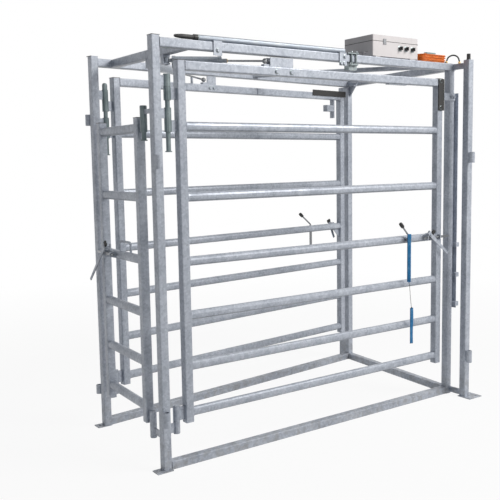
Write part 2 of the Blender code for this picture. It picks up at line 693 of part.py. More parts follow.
# A lift pin in two eyes on the same rail, with its top bent along the gate to a black knob.
def liftPin(name, fittings, s, foot, knob):
    line = lines[name]
    outer = LIFT_T + 0.016
    for z in (boltZ - 0.012, boltZ + 0.006):
        middle = line.at(s, (railFace - 0.002 + outer) / 2, z)
        halfT = line.outward * (outer - railFace + 0.002) / 2
        hole = line.at(s, LIFT_T, z)
        holedPlate(fittings, middle, line.along * 0.018, halfT, up * 0.006, hole, LIFT_PIN + 0.0012)
    top = boltZ + 0.022
    bm = bmesh.new()
    straight = ((0, LIFT_PIN - 0.002), (0.003, LIFT_PIN), (top - foot, LIFT_PIN))
    turned(bm, line.at(s, LIFT_T, foot), up, straight, 12)
    welded = bmesh.new()
    elbow = (s - 0.014, top + 0.018)
    bend = [(s, top - 0.004), (s - 0.003, top + 0.009), elbow, knob]
    bent(welded, [line.at(a, LIFT_T, b) for a, b in bend], 0.006)
    direction = (line.at(knob[0], 0, knob[1]) - line.at(elbow[0], 0, elbow[1])).normalized()
    grip = ((-0.002, 0.007), (0.004, 0.011), (0.030, 0.011), (0.036, 0.007))
    turned(welded, line.at(knob[0], LIFT_T, knob[1]), direction, grip, 10)
    node(name + "_lift_pin", bm, "steel", line.at(s, LIFT_T, foot), welded)


# The tongue on a gate's top rail that the ball end of a cylinder rod works over, 1.5 mm clear of the ball.
TONGUE_TOP = 0.0105
gateRailTop = gateTop - CAP


def rodTongue(bm, line, s, t):
    box(bm, line, (s - 0.016, s + 0.026), (t - 0.015, t + 0.015), (gateRailTop - WELD, gateTop + TONGUE_TOP))


def topRail(name, stileS, welded):
    bm = bmesh.new()
    ends = (stileS + TUBE + GAP, latchEdges[name] - TUBE - GAP)
    railTube(bm, lines[name], *ends, tubeT, (gateRailTop - TUBE, gateRailTop))
    node(name + "_top_rail", bm, "galvanised", gatePivot(name), welded)


# Front gate
stileS = HINGE_FROM_LINE_START + HINGE_TO_STILE
edge = latchEdges["front_gate"]
hingeStile("front_gate", stileS, (GATE_FOOT, gateTop), tallGate)
bm = bmesh.new()
rodTongue(bm, front, FRONT_ROD_END, HINGE_T)
channelStart = FRONT_ROD_END + 0.0245
low = gateRailTop - WELD
high = gateRailTop + 0.053
channel = [(-0.045, low), (-0.045, high), (-0.041, high), (-0.041, gateRailTop + 0.004)]
channel += [(-0.009, gateRailTop + 0.004), (-0.009, high), (-0.005, high), (-0.005, low)]
prism(bm, [front.at(channelStart, t, z) for t, z in channel], front.along * 0.168)
for s in (FRONT_ROD_END + 0.068, FRONT_ROD_END + 0.177):
    hexHead(bm, front.at(s, -WELD, gateTop - 0.029), front.outward, 0.022, 0.0095)
underTop = gateRailTop - TUBE
box(bm, front, (1.735, 1.905), (-0.040, -0.010), (underTop - 0.006, underTop + WELD))
box(bm, front, (1.405, 1.475), (-0.040, -0.014), (underTop - 0.005, underTop + WELD))
hook = [(1.462, underTop - 0.003), (1.462, underTop - 0.014)]
hook += [(1.450, underTop - 0.034), (1.438, underTop - 0.026)]
bent(bm, [front.at(s, -0.020, z) for s, z in hook], 0.004, 6)
topRail("front_gate", stileS, bm)
bm = bmesh.new()
latch("front_gate", bm, edge + 0.055, 0.040, (edge + 0.027, boltZ - 0.118), -0.041, LEVER_NEAR_BOLT)
liftPin("front_gate", bm, FRONT_PIN_S, boltZ - PIN_FOOT, (1.843, boltZ + 0.088))
ladder("front_gate", stileS, (GATE_FOOT, gateTop), bm)
bm = bmesh.new()
RUBBER = 0.006
box(bm, front, (edge - TUBE + 0.002, edge + 0.008), (GAP, RUBBER), (gateTop - 0.216, gateTop - 0.003))
bolts = bmesh.new()
for z in (gateTop - 0.196, gateTop - 0.016):
    hexHead(bolts, front.at(edge - 0.025, RUBBER - WELD, z), front.outward, 0.020, 0.0075)
node("front_gate_rubber", bm, "rubber", gatePivot("front_gate"), bolts)

# Back gate
stileS = BACK_HINGE_FROM_LINE_START + HINGE_TO_STILE - 0.002
edge = latchEdges["back_gate"]
hingeStile("back_gate", stileS, (GATE_FOOT, gateTop), tallGate)
bm = bmesh.new()
rodTongue(bm, back, BACK_ROD_END, -0.030)
plateS = BACK_ROD_END + 0.0205
box(bm, back, (plateS, plateS + 0.078), (-0.045, -0.039), (gateRailTop - WELD, gateRailTop + 0.058))
box(bm, back, (plateS, plateS + 0.078), (-0.040, -0.008), (gateRailTop - WELD, gateRailTop + 0.006))
for s in (plateS + 0.020, plateS + 0.056):
    hexHead(bm, back.at(s, -TUBE + WELD, gateTop - 0.026), -back.outward, 0.020, 0.0085)
turned(bm, back.at(0.805, -0.020, gateRailTop - WELD), up, ((0, 0.009), (0.052, 0.009)), 8)
box(bm, back, (1.392, 1.404), (-0.056, -TUBE + WELD), (gateTop - 0.050, gateTop - 0.006))
box(bm, back, (edge - 0.127, edge - 0.1165), (-0.045, -0.005), (gateTop - 0.198, underTop + WELD))
box(bm, back, (edge - 0.213, edge - 0.126), (-TUBE - 0.004, -0.010), (gateTop - 0.147, gateTop - 0.097))
topRail("back_gate", stileS, bm)
bm = bmesh.new()
gussetZ = railHeights[3] - OVAL_HEIGHT / 2 + WELD
corner = [(edge - TUBE + WELD, gussetZ), (edge - TUBE - 0.070, gussetZ)]
corner.append((edge - TUBE + WELD, gussetZ - 0.070))
prism(bm, [back.at(s, -0.028, z) for s, z in corner], back.outward * 0.006)
latch("back_gate", bm, edge + 0.014, 0.020, (edge - 0.044, boltZ - 0.100), 0.030, LEVER_NEAR_BOLT)
liftPin("back_gate", bm, BACK_PIN_S, boltZ - PIN_FOOT, (1.922, boltZ + 0.101))
ladder("back_gate", stileS, (GATE_FOOT, gateTop), bm)
bm = bmesh.new()
box(bm, back, (edge - 0.380, edge + 0.010), (-TUBE - RUBBER, -TUBE - GAP), (gateTop - 0.029, gateTop + 0.016))
node("back_gate_rubber", bm, "rubber", gatePivot("back_gate"))

# End gate
stileS = END_HINGE_FROM_LINE_START + END_HINGE_TO_STILE
edge = latchEdges["end_gate"]
hingeStile("end_gate", stileS, (END_GATE_FOOT, endTop), endGate)
bm = bmesh.new()
latch("end_gate", bm, edge + 0.008, 0.040, (edge + 0.115, boltZ - 0.188))
railRoof = boltZ + OVAL_HEIGHT / 2
handle = [(0.425, railRoof - WELD), (0.425, railRoof + 0.048), (0.437, railRoof + 0.058)]
handle += [(0.564, railRoof + 0.058), (0.576, railRoof + 0.048), (0.576, railRoof - WELD)]
bent(bm, [left.at(s, HINGE_T, z) for s, z in handle], 0.007)
ladder("end_gate", stileS, (END_GATE_FOOT, endTop), bm)

# Air cylinders: a barrel that swings on its clevis pin and a rod with a piston inside it and a ball end
CAP_RADIUS = 0.0262
CAP_LENGTH = 0.017
GLAND = 0.012
GLAND_LENGTH = 0.034
BARREL_START = 0.045
ROD_BORE = 0.0072
BALL = 0.016
NECK = 0.0150
PISTON = 0.0195
PISTON_LENGTH = 0.030
PISTON_FROM_END = 0.012


def cylinder(name, anchor, rodEnd, length):
    start = Vector((*anchor, axisZ))
    reach = Vector((rodEnd.x, rodEnd.y, axisZ)) - start
    along = reach.normalized()
    across = Vector((-along.y, along.x, 0))
    end = BARREL_START + length
    bm = bmesh.new()
    pipe(bm, start + along * BARREL_START, start + along * end, BARREL_OUTSIDE, BORE, 16)
    welded = bmesh.new()
    rear = BARREL_START - CAP_LENGTH + 0.003
    turned(welded, start + along * rear, along, ((0, CAP_RADIUS), (CAP_LENGTH, CAP_RADIUS)), 16)
    pipe(welded, start - up * EYE_HALF, start + up * EYE_HALF, EYE, EYE_BORE, 16)
    neckStart = (EYE + EYE_BORE) / 2
    neck = [start + along * neckStart + across * 0.008, start + along * neckStart - across * 0.008]
    neck += [start + along * (rear + 0.004) - across * 0.008, start + along * (rear + 0.004) + across * 0.008]
    prism(welded, [p - up * 0.010 for p in neck], up * 0.020)
    frontCap = start + along * (end - 0.003)
    pipe(welded, frontCap, frontCap + along * CAP_LENGTH, CAP_RADIUS, ROD_BORE, 16)
    gland = frontCap + along * (CAP_LENGTH - 0.002)
    pipe(welded, gland, gland + along * GLAND_LENGTH, GLAND, ROD_BORE, 16)
    node(name + "_barrel", bm, "alloy", start, welded)
    total = reach.length
    pistonEnd = end - 0.003 - PISTON_FROM_END
    profile = [(pistonEnd - PISTON_LENGTH, PISTON), (pistonEnd, PISTON)]
    profile += [(pistonEnd, ROD), (total - NECK, ROD)]
    for k in range(1, 6):
        turn = pi * (k - 0.1) / 5.4
        profile.append((total - BALL * cos(turn), max(BALL * sin(turn), ROD * 0.9)))
    bm = bmesh.new()
    turned(bm, start, along, profile, 12)
    node(name + "_rod", bm, "steel", start)


cylinder("front_cylinder", FRONT_ANCHOR, front.at(FRONT_ROD_END, HINGE_T, 0), FRONT_BARREL_LENGTH)
cylinder("back_cylinder", BACK_ANCHOR, back.at(BACK_ROD_END, -0.030, 0), BACK_BARREL_LENGTH)

# Conduit on the front rail, its black fitting, and the clamps
CONDUIT = 0.017
CONDUIT_X = (0.2975, 1.3550)
FITTING_X = (0.151, 0.2972)
CLAMP = 0.006
CLAMP_LEFT_X = (0.379, 0.433)
CLAMP_RIGHT_X = (1.295, 1.354)
BLOCK_X = (1.378, 1.447)
STUD_X = (1.393, 1.431)
TOP_PLATE_END = 1.448
conduitZ = railTop + CONDUIT + GAP
bm = bmesh.new()
ends = [front.at(s, HINGE_T, conduitZ) for s in CONDUIT_X]
pipe(bm, *ends, CONDUIT, CONDUIT - 0.0025, 16)
node("conduit_tube", bm, "alloy")
bm = bmesh.new()
length = FITTING_X[1] - FITTING_X[0]
profile = [(0, 0.006), (0.010, 0.009), (0.045, 0.0125), (length - 0.030, 0.0125)]
profile += [(length - 0.028, 0.0165), (length, 0.0165)]
turned(bm, front.at(FITTING_X[0], HINGE_T, conduitZ), front.along, profile, 16)
node("conduit_fitting", bm, "black plastic")


def frontClamp(name, s, bolts):
    bm = bmesh.new()
    box(bm, front, s, (GAP, CLAMP), (railZ - 0.024, railTop + 0.005))
    welded = bmesh.new()
    box(welded, front, s, (-0.0075, 0.001), (railTop + GAP, railTop + 0.004))
    for boltS, z in bolts:
        hexHead(welded, front.at(boltS, CLAMP - WELD, z), front.outward, 0.020, 0.0095)
    node(name, bm, "galvanised", welded=welded)


frontClamp("clamp_left", CLAMP_LEFT_X, ((0.407, railZ + 0.004),))
rightBolts = ((1.306, railZ - 0.011), (1.331, railZ - 0.011), (1.338, railZ + 0.030))
frontClamp("clamp_right", CLAMP_RIGHT_X, rightBolts)
bm = bmesh.new()
box(bm, front, BLOCK_X, (-0.045, -0.005), (gateTop + 0.0115, railZ - GAP))
welded = bmesh.new()
box(welded, front, (BLOCK_X[0], STUD_X[1] + 0.011), (-0.045, 0.014), (railZ - 0.018, railZ - 0.010))
box(welded, front, (CONDUIT_X[1] + 0.0010, TOP_PLATE_END), (-0.045, 0.014), (railTop + GAP, railTop + 0.006))
for s in STUD_X:
    turned(welded, front.at(s, 0.0068, railZ - 0.022), up, ((0, 0.005), (TUBE + 0.034, 0.005)), 10)
node("clamp_block", bm, "zinc", welded=welded)

# Control box on the front rail: base on two bars, lid on hinges at the back, latch, knobs and valves
BOX_X = (1.585, 2.000)
BOX_Y = (0.005, 0.270)
BOX_Z = (0.005, 0.100)
LID_TOP = 0.138
BOX_WALL = 0.002
KNOB_X = (1.830, 1.886, 1.946)
KNOB_Z = 0.064
LID_AXIS_OUT = 0.0055


def boxShell(bm, z, inset):
    shape = rounded(BOX_X[1] - BOX_X[0], BOX_Y[1] - BOX_Y[0], 0.006, 2)
    inside = rounded(BOX_X[1] - BOX_X[0] - 2 * BOX_WALL, BOX_Y[1] - BOX_Y[0] - 2 * BOX_WALL, 0.004, 2)
    midX = (BOX_X[0] + BOX_X[1]) / 2
    midY = (BOX_Y[0] + BOX_Y[1]) / 2
    outer = [[(midX + x, midY + y, height) for x, y in shape] for height in z]
    inner = [[(midX + x, midY + y, height) for x, y in inside] for height in (z[0], z[1] + inset)]
    cup(bm, outer, inner)


boxBase = railTop + BOX_Z[0]
seam = railTop + BOX_Z[1]
bm = bmesh.new()
boxShell(bm, (seam, boxBase), BOX_WALL)
welded = bmesh.new()
for s in (BOX_X[0] + 0.030, BOX_X[1] - 0.070):
    t = (-BOX_Y[1] + 0.003, -BOX_Y[0] - 0.002)
    box(welded, front, (s, s + 0.040), t, (railTop + GAP, boxBase + 0.001))
for t in (-0.060, -0.110, -0.160):
    gland = front.at(BOX_X[0] + 0.001, t, boxBase + 0.024)
    turned(welded, gland, -front.along, ((0, 0.0095), (0.009, 0.0095), (0.010, 0.0065), (0.026, 0.0065)), 10)
for s in KNOB_X:
    boss = front.at(s, -BOX_Y[0] - 0.001, railTop + KNOB_Z)
    turned(welded, boss, front.outward, ((0, 0.0085), (0.004, 0.0085)), 12)
hingeY = BOX_Y[1] + LID_AXIS_OUT
for s in (BOX_X[0] + 0.060, BOX_X[1] - 0.090):
    turned(welded, (s, hingeY, seam - 0.0005), (1, 0, 0), ((0, 0.004), (0.015, 0.004)), 10)
    box(welded, front, (s, s + 0.015), (-hingeY, -BOX_Y[1] + 0.001), (seam - 0.0040, seam - 0.0012))
node("box_base", bm, "grey paint", welded=welded)
bm = bmesh.new()
boxShell(bm, (seam + GAP, railTop + LID_TOP), -BOX_WALL)
welded = bmesh.new()
for s in (BOX_X[0] + 0.0755, BOX_X[1] - 0.0745):
    turned(welded, (s, hingeY, seam - 0.0005), (1, 0, 0), ((0, 0.004), (0.015, 0.004)), 10)
    box(welded, front, (s, s + 0.015), (-hingeY, -BOX_Y[1] + 0.001), (seam + 0.0005, seam + 0.0030))
lidAxis = (0, hingeY, seam - 0.0005)
node("box_lid", bm, "grey paint", lidAxis, welded)
latchS = 1.690
latchAxis = front.at(latchS, -BOX_Y[0] + 0.0035, seam + 0.016)
bm = bmesh.new()
t = shifted((GAP, 0.0035), -BOX_Y[0])
box(bm, front, shifted((-0.013, 0.013), latchS), t, shifted((-0.020, 0.016), seam))
node("box_latch", bm, "steel", latchAxis)
for index, s in enumerate(KNOB_X):
    place = front.at(s, -BOX_Y[0] + 0.003 + GAP, railTop + KNOB_Z)
    bm = bmesh.new()
    turned(bm, place, front.outward, ((0, 0.0125), (0.004, 0.0130), (0.012, 0.0110), (0.014, 0.0095)), 12)
    welded = bmesh.new()
    z = shifted((-0.011, 0.011), railTop + KNOB_Z)
    box(welded, front, (s - 0.0035, s + 0.0035), shifted((0.015, 0.025), -BOX_Y[0]), z)
    node("valve_knob_" + str(index + 1), bm, "black plastic", place, welded)
bm = bmesh.new()
t = (-0.075, -BOX_Y[0] - BOX_WALL - 0.002)
box(bm, front, (KNOB_X[0] - 0.022, KNOB_X[2] + 0.022), t, (boxBase + BOX_WALL + GAP, boxBase + 0.076))
node("valve_block", bm, "black plastic")

# The orange lead lies in a hank on the front rail, wound in one run: layers of loops that spiral in and out
LEAD = 0.0037
HANK_MIDDLE = (2.160, 0.040)
HANK_HALF = (0.130, 0.043)
LOOPS_PER_LAYER = 2
LAYERS = 6
LOOP_STEP = 0.0100
LAYER_STEP = 0.0082
LOOP_POINTS = 24
CLIMB = 0.25
# Share of a loop's points in its two round ends; the rest stand on the two straight runs.
END_SHARE = 0.8


# Place on a long round-ended loop, as a share of the loop from the middle of its right end.
def roundEnded(share, straight, radius):
    share = (share + END_SHARE / 4) % 1.0
    side = 1 if share < 0.5 else -1
    share = share % 0.5
    if share < END_SHARE / 2:
        angle = pi * (share / (END_SHARE / 2) - 0.5)
        return side * (straight + radius * cos(angle)), side * radius * sin(angle)
    along = (share - END_SHARE / 2) / (0.5 - END_SHARE / 2)
    return side * straight * (1 - 2 * along), side * radius


def hankPoint(turn):
    layer = int(turn // LOOPS_PER_LAYER)
    inLayer = turn - layer * LOOPS_PER_LAYER
    inward = inLayer if layer % 2 == 0 else LOOPS_PER_LAYER - inLayer
    height = 0.0
    for k in range(1, LAYERS):
        part = min(max((turn - k * LOOPS_PER_LAYER + CLIMB) / (2 * CLIMB), 0), 1)
        height += LAYER_STEP * part * part * (3 - 2 * part)
    straight = HANK_HALF[0] - HANK_HALF[1]
    x, y = roundEnded(turn, straight, HANK_HALF[1] - LOOP_STEP * inward)
    return Vector((HANK_MIDDLE[0] + x, HANK_MIDDLE[1] + y, railTop + LEAD + GAP + height))


turns = LOOPS_PER_LAYER * LAYERS
hank = [hankPoint(k / LOOP_POINTS) for k in range(turns * LOOP_POINTS + 1)]


# Least distance between the middle lines of two stretches that aren't neighbours, less two radii.
def leastGap(points, apart, radius):
    least = 1.0
    for i, a in enumerate(points):
        for b in points[i + apart:]:
            least = min(least, (a - b).length)
    return least - 2 * radius


print("least gap of the lead to itself:", round(leastGap(hank, LOOP_POINTS // 2, LEAD) * 1000, 2), "mm")


def cord(name, points, radius, kind, resolution):
    curve = bpy.data.curves.new(name, "CURVE")
    curve.dimensions = "3D"
    curve.bevel_depth = radius
    curve.bevel_resolution = resolution
    curve.use_fill_caps = True
    spline = curve.splines.new("POLY")
    spline.points.add(len(points) - 1)
    for point, place in zip(spline.points, points):
        point.co = (*place, 1)
    curve.materials.append(finish(name, kind))
    bpy.context.collection.objects.link(bpy.data.objects.new(name, curve))


# A smooth curve through chosen points, read at even steps.
def smooth(points, perSpan):
    points = [Vector(p) for p in points]
    padded = [2 * points[0] - points[1]] + points + [2 * points[-1] - points[-2]]
    out = []
    for p0, p1, p2, p3 in zip(padded, padded[1:], padded[2:], padded[3:]):
        for k in range(perSpan):
            u = k / perSpan
            out.append(0.5 * (2 * p1 + (p2 - p0) * u + (2 * p0 - 5 * p1 + 4 * p2 - p3) * u * u
                              + (3 * p1 - p0 - 3 * p2 + p3) * u ** 3))
    return out + [points[-1]]


cord("orange_lead", hank, LEAD, "orange", 1)
buckleZ = railTop + 2 * LEAD + (LAYERS - 1) * LAYER_STEP + 2 * GAP
bm = bmesh.new()
box(bm, front, (2.075, 2.165), (-0.020, 0.0035), (buckleZ, buckleZ + 0.009))
node("lead_buckle", bm, "teal")

# The black plug on the outer right post, and the black hose from the front rail over to the post's tie
plugFoot = (CORNER_POST[0] + TUBE / 2, CORNER_POST[1] + TUBE / 2, POST_HEIGHT + GAP)
bm = bmesh.new()
profile = ((0, 0.0145), (0.006, 0.0145), (0.0065, 0.0130), (0.039, 0.0130), (0.041, 0.0115))
turned(bm, plugFoot, up, profile, 16)
node("post_plug", bm, "black plastic")
HOSE = 0.005
hoseRoute = [
    (2.3060, 0.0220, railTop + GAP),
    (2.3060, 0.0220, railTop + 0.0060),
    (2.3060, 0.0220, railTop + 0.0120),
    (2.3137, 0.0121, railTop + 0.0404),
    (2.3323, -0.0120, railTop + 0.0530),
    (2.3509, -0.0361, railTop + 0.0404),
    (2.3585, -0.0460, railTop + 0.0100),
    (2.3585, -0.0460, railTop),
    (2.3585, -0.0460, railTop - 0.0060 + GAP),
]
cord("corner_hose", smooth(hoseRoute, 4), HOSE, "rubber", 2)

# Blue pull strap on the front gate's lift pin, a thin cord below it and a tail
STRAP_TOP = [(1.8900, 0.0310, 0.040), (1.8830, 0.0375, 0.020)]
STRAP_TOP += [(1.8810, 0.0380, -0.026), (1.8840, 0.0350, -0.284)]
STRAP_WIDTH = 0.026
STRAP_LEAN = radians(35)
CORD_TOP = (1.8860, 0.0350, -0.2843)
CORD_END = (1.9130, 0.0320, -0.4640)
TAIL = [(1.9150, 0.0320, -0.4643), (1.9150, 0.0320, -0.7110)]
TAIL_WIDTH = 0.024
TAIL_LEAN = radians(15)


def fromBolt(places):
    return [(s, t, boltZ + z) for s, t, z in places]


bm = bmesh.new()
strip(bm, front, fromBolt(STRAP_TOP), STRAP_WIDTH, 0.002, STRAP_LEAN)
node("pull_strap", bm, "blue webbing", front.at(FRONT_PIN_S, LIFT_T, boltZ - PIN_FOOT))
bm = bmesh.new()
bent(bm, [front.at(*place) for place in fromBolt((CORD_TOP, CORD_END))], 0.0015, 8)
node("pull_cord", bm, "black plastic", front.at(FRONT_PIN_S, LIFT_T, boltZ - PIN_FOOT))
bm = bmesh.new()
strip(bm, front, fromBolt(TAIL), TAIL_WIDTH, 0.002, TAIL_LEAN)
node("pull_tail", bm, "blue webbing", front.at(FRONT_PIN_S, LIFT_T, boltZ - PIN_FOOT))
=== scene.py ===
import json
from math import radians, sin, cos, pi, atan2

import bmesh
import bpy
from mathutils import Matrix, Vector


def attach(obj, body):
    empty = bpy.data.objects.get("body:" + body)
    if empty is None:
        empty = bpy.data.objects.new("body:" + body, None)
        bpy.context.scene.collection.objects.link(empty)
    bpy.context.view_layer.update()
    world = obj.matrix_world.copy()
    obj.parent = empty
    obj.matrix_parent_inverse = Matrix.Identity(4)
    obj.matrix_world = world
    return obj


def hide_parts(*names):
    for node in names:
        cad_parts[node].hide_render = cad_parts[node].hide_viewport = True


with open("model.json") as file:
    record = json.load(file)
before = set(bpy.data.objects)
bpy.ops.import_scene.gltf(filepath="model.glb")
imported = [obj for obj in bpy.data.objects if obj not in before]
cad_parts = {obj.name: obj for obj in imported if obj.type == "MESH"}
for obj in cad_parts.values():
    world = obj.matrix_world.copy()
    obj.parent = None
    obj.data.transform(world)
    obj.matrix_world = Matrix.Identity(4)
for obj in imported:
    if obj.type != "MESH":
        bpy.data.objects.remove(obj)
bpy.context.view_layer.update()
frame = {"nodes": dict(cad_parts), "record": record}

nodes = frame["nodes"]
print("drafting gate: frame loaded,", len(nodes), "nodes")

# camera at eye height in front of the hinge end
camera = {
    "place": (-1.9405, -3.5848, 1.6752),
    "heading": 35.33,
    "down": 6.41,
    "roll": -1.01,
    "lens": 55.18,
}


def placeCamera():
    data = bpy.data.cameras.new("yardCamera")
    data.lens = camera["lens"]
    data.sensor_width = 36
    eye = bpy.data.objects.new("yardCamera", data)
    bpy.context.collection.objects.link(eye)
    turn = Matrix.Rotation(radians(-camera["heading"]), 4, "Z")
    tilt = Matrix.Rotation(radians(90 - camera["down"]), 4, "X")
    roll = Matrix.Rotation(radians(camera["roll"]), 4, "Z")
    eye.matrix_world = Matrix.Translation(camera["place"]) @ turn @ tilt @ roll
    bpy.context.scene.camera = eye


placeCamera()

# lines that the part is laid out on: along a side, outward from it, and up
frontSide = {"start": Vector((0, 0, 0)), "along": Vector((1, 0, 0)), "outward": Vector((0, -1, 0))}
backSide = {
    "start": Vector((0.057 - 0.117537 * 0.05, 0.8875 + 0.993068 * 0.05, 0)),
    "along": Vector((0.993068, 0.117537, 0)),
    "outward": Vector((-0.117537, 0.993068, 0)),
}
leftSide = {
    "start": Vector((0, 0, 0)),
    "along": Vector((0.06409, 0.99794, 0)),
    "outward": Vector((-0.99794, 0.06409, 0)),
}
railTop = 2.340
boltZ = 1.149083


def onSide(side, s, t, z):
    return side["start"] + side["along"] * s + side["outward"] * t + Vector((0, 0, z))


# small tools for materials
def newFinish(name):
    material = bpy.data.materials.new(name)
    material.use_nodes = True
    return material, material.node_tree


def addNode(tree, kind, **settings):
    node = tree.nodes.new(kind)
    for key, value in settings.items():
        if hasattr(node, key):
            setattr(node, key, value)
        else:
            node.inputs[key.replace("_", " ").title()].default_value = value
    return node


def objectPlace(tree):
    return addNode(tree, "ShaderNodeTexCoord").outputs["Object"]


def noise(tree, place, scale, detail=4.0, roughness=0.55):
    node = addNode(tree, "ShaderNodeTexNoise", scale=scale, detail=detail, roughness=roughness)
    tree.links.new(place, node.inputs["Vector"])
    return node.outputs["Fac"]


def stretched(tree, place, scale, turn=(0, 0, 0)):
    node = addNode(tree, "ShaderNodeMapping")
    node.inputs["Scale"].default_value = scale
    node.inputs["Rotation"].default_value = turn
    tree.links.new(place, node.inputs["Vector"])
    return node.outputs["Vector"]


def remap(tree, value, low, high, start=0.0, end=1.0):
    node = addNode(tree, "ShaderNodeMapRange")
    node.inputs["From Min"].default_value = low
    node.inputs["From Max"].default_value = high
    node.inputs["To Min"].default_value = start
    node.inputs["To Max"].default_value = end
    tree.links.new(value, node.inputs["Value"])
    return node.outputs["Result"]


def sums(tree, kind, a, b):
    node = addNode(tree, "ShaderNodeMath", operation=kind)
    for socket, value in zip(node.inputs, (a, b)):
        if isinstance(value, (int, float)):
            socket.default_value = value
        else:
            tree.links.new(value, socket)
    return node.outputs["Value"]


def blendColour(tree, factor, a, b, kind="MIX"):
    node = addNode(tree, "ShaderNodeMix", data_type="RGBA", blend_type=kind)
    tree.links.new(factor, node.inputs[0])
    for index, value in ((6, a), (7, b)):
        if isinstance(value, tuple):
            node.inputs[index].default_value = (*value, 1)
        else:
            tree.links.new(value, node.inputs[index])
    return node.outputs[2]


def bump(tree, height, strength, distance=0.001, before=None):
    node = addNode(tree, "ShaderNodeBump")
    node.inputs["Strength"].default_value = strength
    node.inputs["Distance"].default_value = distance
    tree.links.new(height, node.inputs["Height"])
    if before:
        tree.links.new(before, node.inputs["Normal"])
    return node.outputs["Normal"]


def shader(tree, colour, roughness, normal=None, **fixed):
    node = tree.nodes["Principled BSDF"]
    for socket, value in (("Base Color", colour), ("Roughness", roughness)):
        if isinstance(value, tuple):
            node.inputs[socket].default_value = (*value, 1)
        elif isinstance(value, (int, float)):
            node.inputs[socket].default_value = value
        else:
            tree.links.new(value, node.inputs[socket])
    if normal:
        tree.links.new(normal, node.inputs["Normal"])
    for key, value in fixed.items():
        node.inputs[key.replace("_", " ")].default_value = value


galvanised = {
    "light": (0.60, 0.64, 0.71),
    "dark": (0.19, 0.22, 0.28),
    "spangle": 85,
    "spangleShare": 0.30,
    "roughness": (0.26, 0.50),
    "metallic": 0.24,
    "hingeAxes": ((0.098, 0.025, 0), (0.16032, 0.92490, 0), (0.03681, 0.18302, 0)),
    # painted shade: share and colour of the darkening blended onto faces turned downwards
    "undersideShadeShare": 0.55,
    "shaded": (0.13, 0.14, 0.16),
    "hingeRadius": 0.0213,
    "platedAbove": 1.5,
    "plated": (0.30, 0.36, 0.37),
    "platedDark": (0.10, 0.14, 0.15),
}


# 1 inside the round hinge parts, which are plated and not dipped
def hingeZone(tree, place, look):
    flat = addNode(tree, "ShaderNodeVectorMath", operation="MULTIPLY")
    tree.links.new(place, flat.inputs[0])
    flat.inputs[1].default_value = (1, 1, 0)
    nearest = None
    for axis in look["hingeAxes"]:
        away = addNode(tree, "ShaderNodeVectorMath", operation="DISTANCE")
        tree.links.new(flat.outputs["Vector"], away.inputs[0])
        away.inputs[1].default_value = axis
        nearest = away.outputs["Value"] if nearest is None else sums(tree, "MINIMUM", nearest, away.outputs["Value"])
    return sums(tree, "LESS_THAN", nearest, look["hingeRadius"])


def zincCoat(name, look, tint=None):
    material, tree = newFinish(name)
    place = objectPlace(tree)
    crystal = addNode(tree, "ShaderNodeTexVoronoi", scale=look["spangle"])
    wobble = noise(tree, place, 38, 3)
    shifted = addNode(tree, "ShaderNodeVectorMath", operation="MULTIPLY_ADD")
    tree.links.new(wobble, shifted.inputs[0])
    shifted.inputs[1].default_value = (0.012, 0.012, 0.012)
    tree.links.new(place, shifted.inputs[2])
    tree.links.new(shifted.outputs["Vector"], crystal.inputs["Vector"])
    shade = addNode(tree, "ShaderNodeSeparateColor")
    tree.links.new(crystal.outputs["Color"], shade.inputs["Color"])
    cells = sums(tree, "MULTIPLY", shade.outputs["Red"], look["spangleShare"])
    clouds = remap(tree, noise(tree, place, 7.5, 6, 0.62), 0.32, 0.68)
    runs = remap(tree, noise(tree, stretched(tree, place, (26, 26, 2.2)), 1.0, 5, 0.6), 0.35, 0.75)
    cloudPart = sums(tree, "MULTIPLY", clouds, 0.30)
    runPart = sums(tree, "MULTIPLY", runs, 0.22)
    mottle = sums(tree, "ADD", sums(tree, "ADD", cells, cloudPart), runPart)
    colour = blendColour(tree, mottle, look["light"], look["dark"])
    grains = remap(tree, noise(tree, place, 420, 2), 0.62, 0.72)
    specks = sums(tree, "MULTIPLY", grains, 0.35)
    colour = blendColour(tree, specks, colour, (0.78, 0.80, 0.83))
    height = addNode(tree, "ShaderNodeSeparateXYZ")
    tree.links.new(place, height.inputs["Vector"])
    low = remap(tree, height.outputs["Z"], 0.26, 0.0)
    mud = sums(tree, "MULTIPLY", low, remap(tree, noise(tree, place, 24, 5), 0.42, 0.66))
    colour = blendColour(tree, sums(tree, "MULTIPLY", mud, 0.45), colour, (0.30, 0.28, 0.25))
    # painted shade and painted reflection: faces turned downwards are blended towards the dark shaded grey by their
    # world normal, standing in for the shade and dark ground reflected under the rails
    facing = addNode(tree, "ShaderNodeSeparateXYZ")
    tree.links.new(addNode(tree, "ShaderNodeNewGeometry").outputs["Normal"], facing.inputs["Vector"])
    under = remap(tree, facing.outputs["Z"], -0.25, -0.95)
    colour = blendColour(tree, sums(tree, "MULTIPLY", under, look["undersideShadeShare"]), colour, look["shaded"])
    upper = sums(tree, "GREATER_THAN", height.outputs["Z"], look["platedAbove"])
    plated = sums(tree, "MULTIPLY", hingeZone(tree, place, look), upper)
    colour = blendColour(tree, plated, colour, blendColour(tree, clouds, look["plated"], look["platedDark"]))
    rough = remap(tree, sums(tree, "ADD", sums(tree, "MULTIPLY", shade.outputs["Green"], 0.5), clouds), 0.0, 1.5,
                  *look["roughness"])
    rough = sums(tree, "ADD", rough, sums(tree, "MULTIPLY", mud, 0.25))
    normal = bump(tree, noise(tree, place, 150, 4), 0.10, 0.0006)
    normal = bump(tree, crystal.outputs["Distance"], 0.06, 0.0008, normal)
    shader(tree, colour, rough, normal, Metallic=look["metallic"])
    return material


zincPlate = {"light": (0.38, 0.42, 0.43), "dark": (0.17, 0.21, 0.22), "roughness": (0.26, 0.42)}


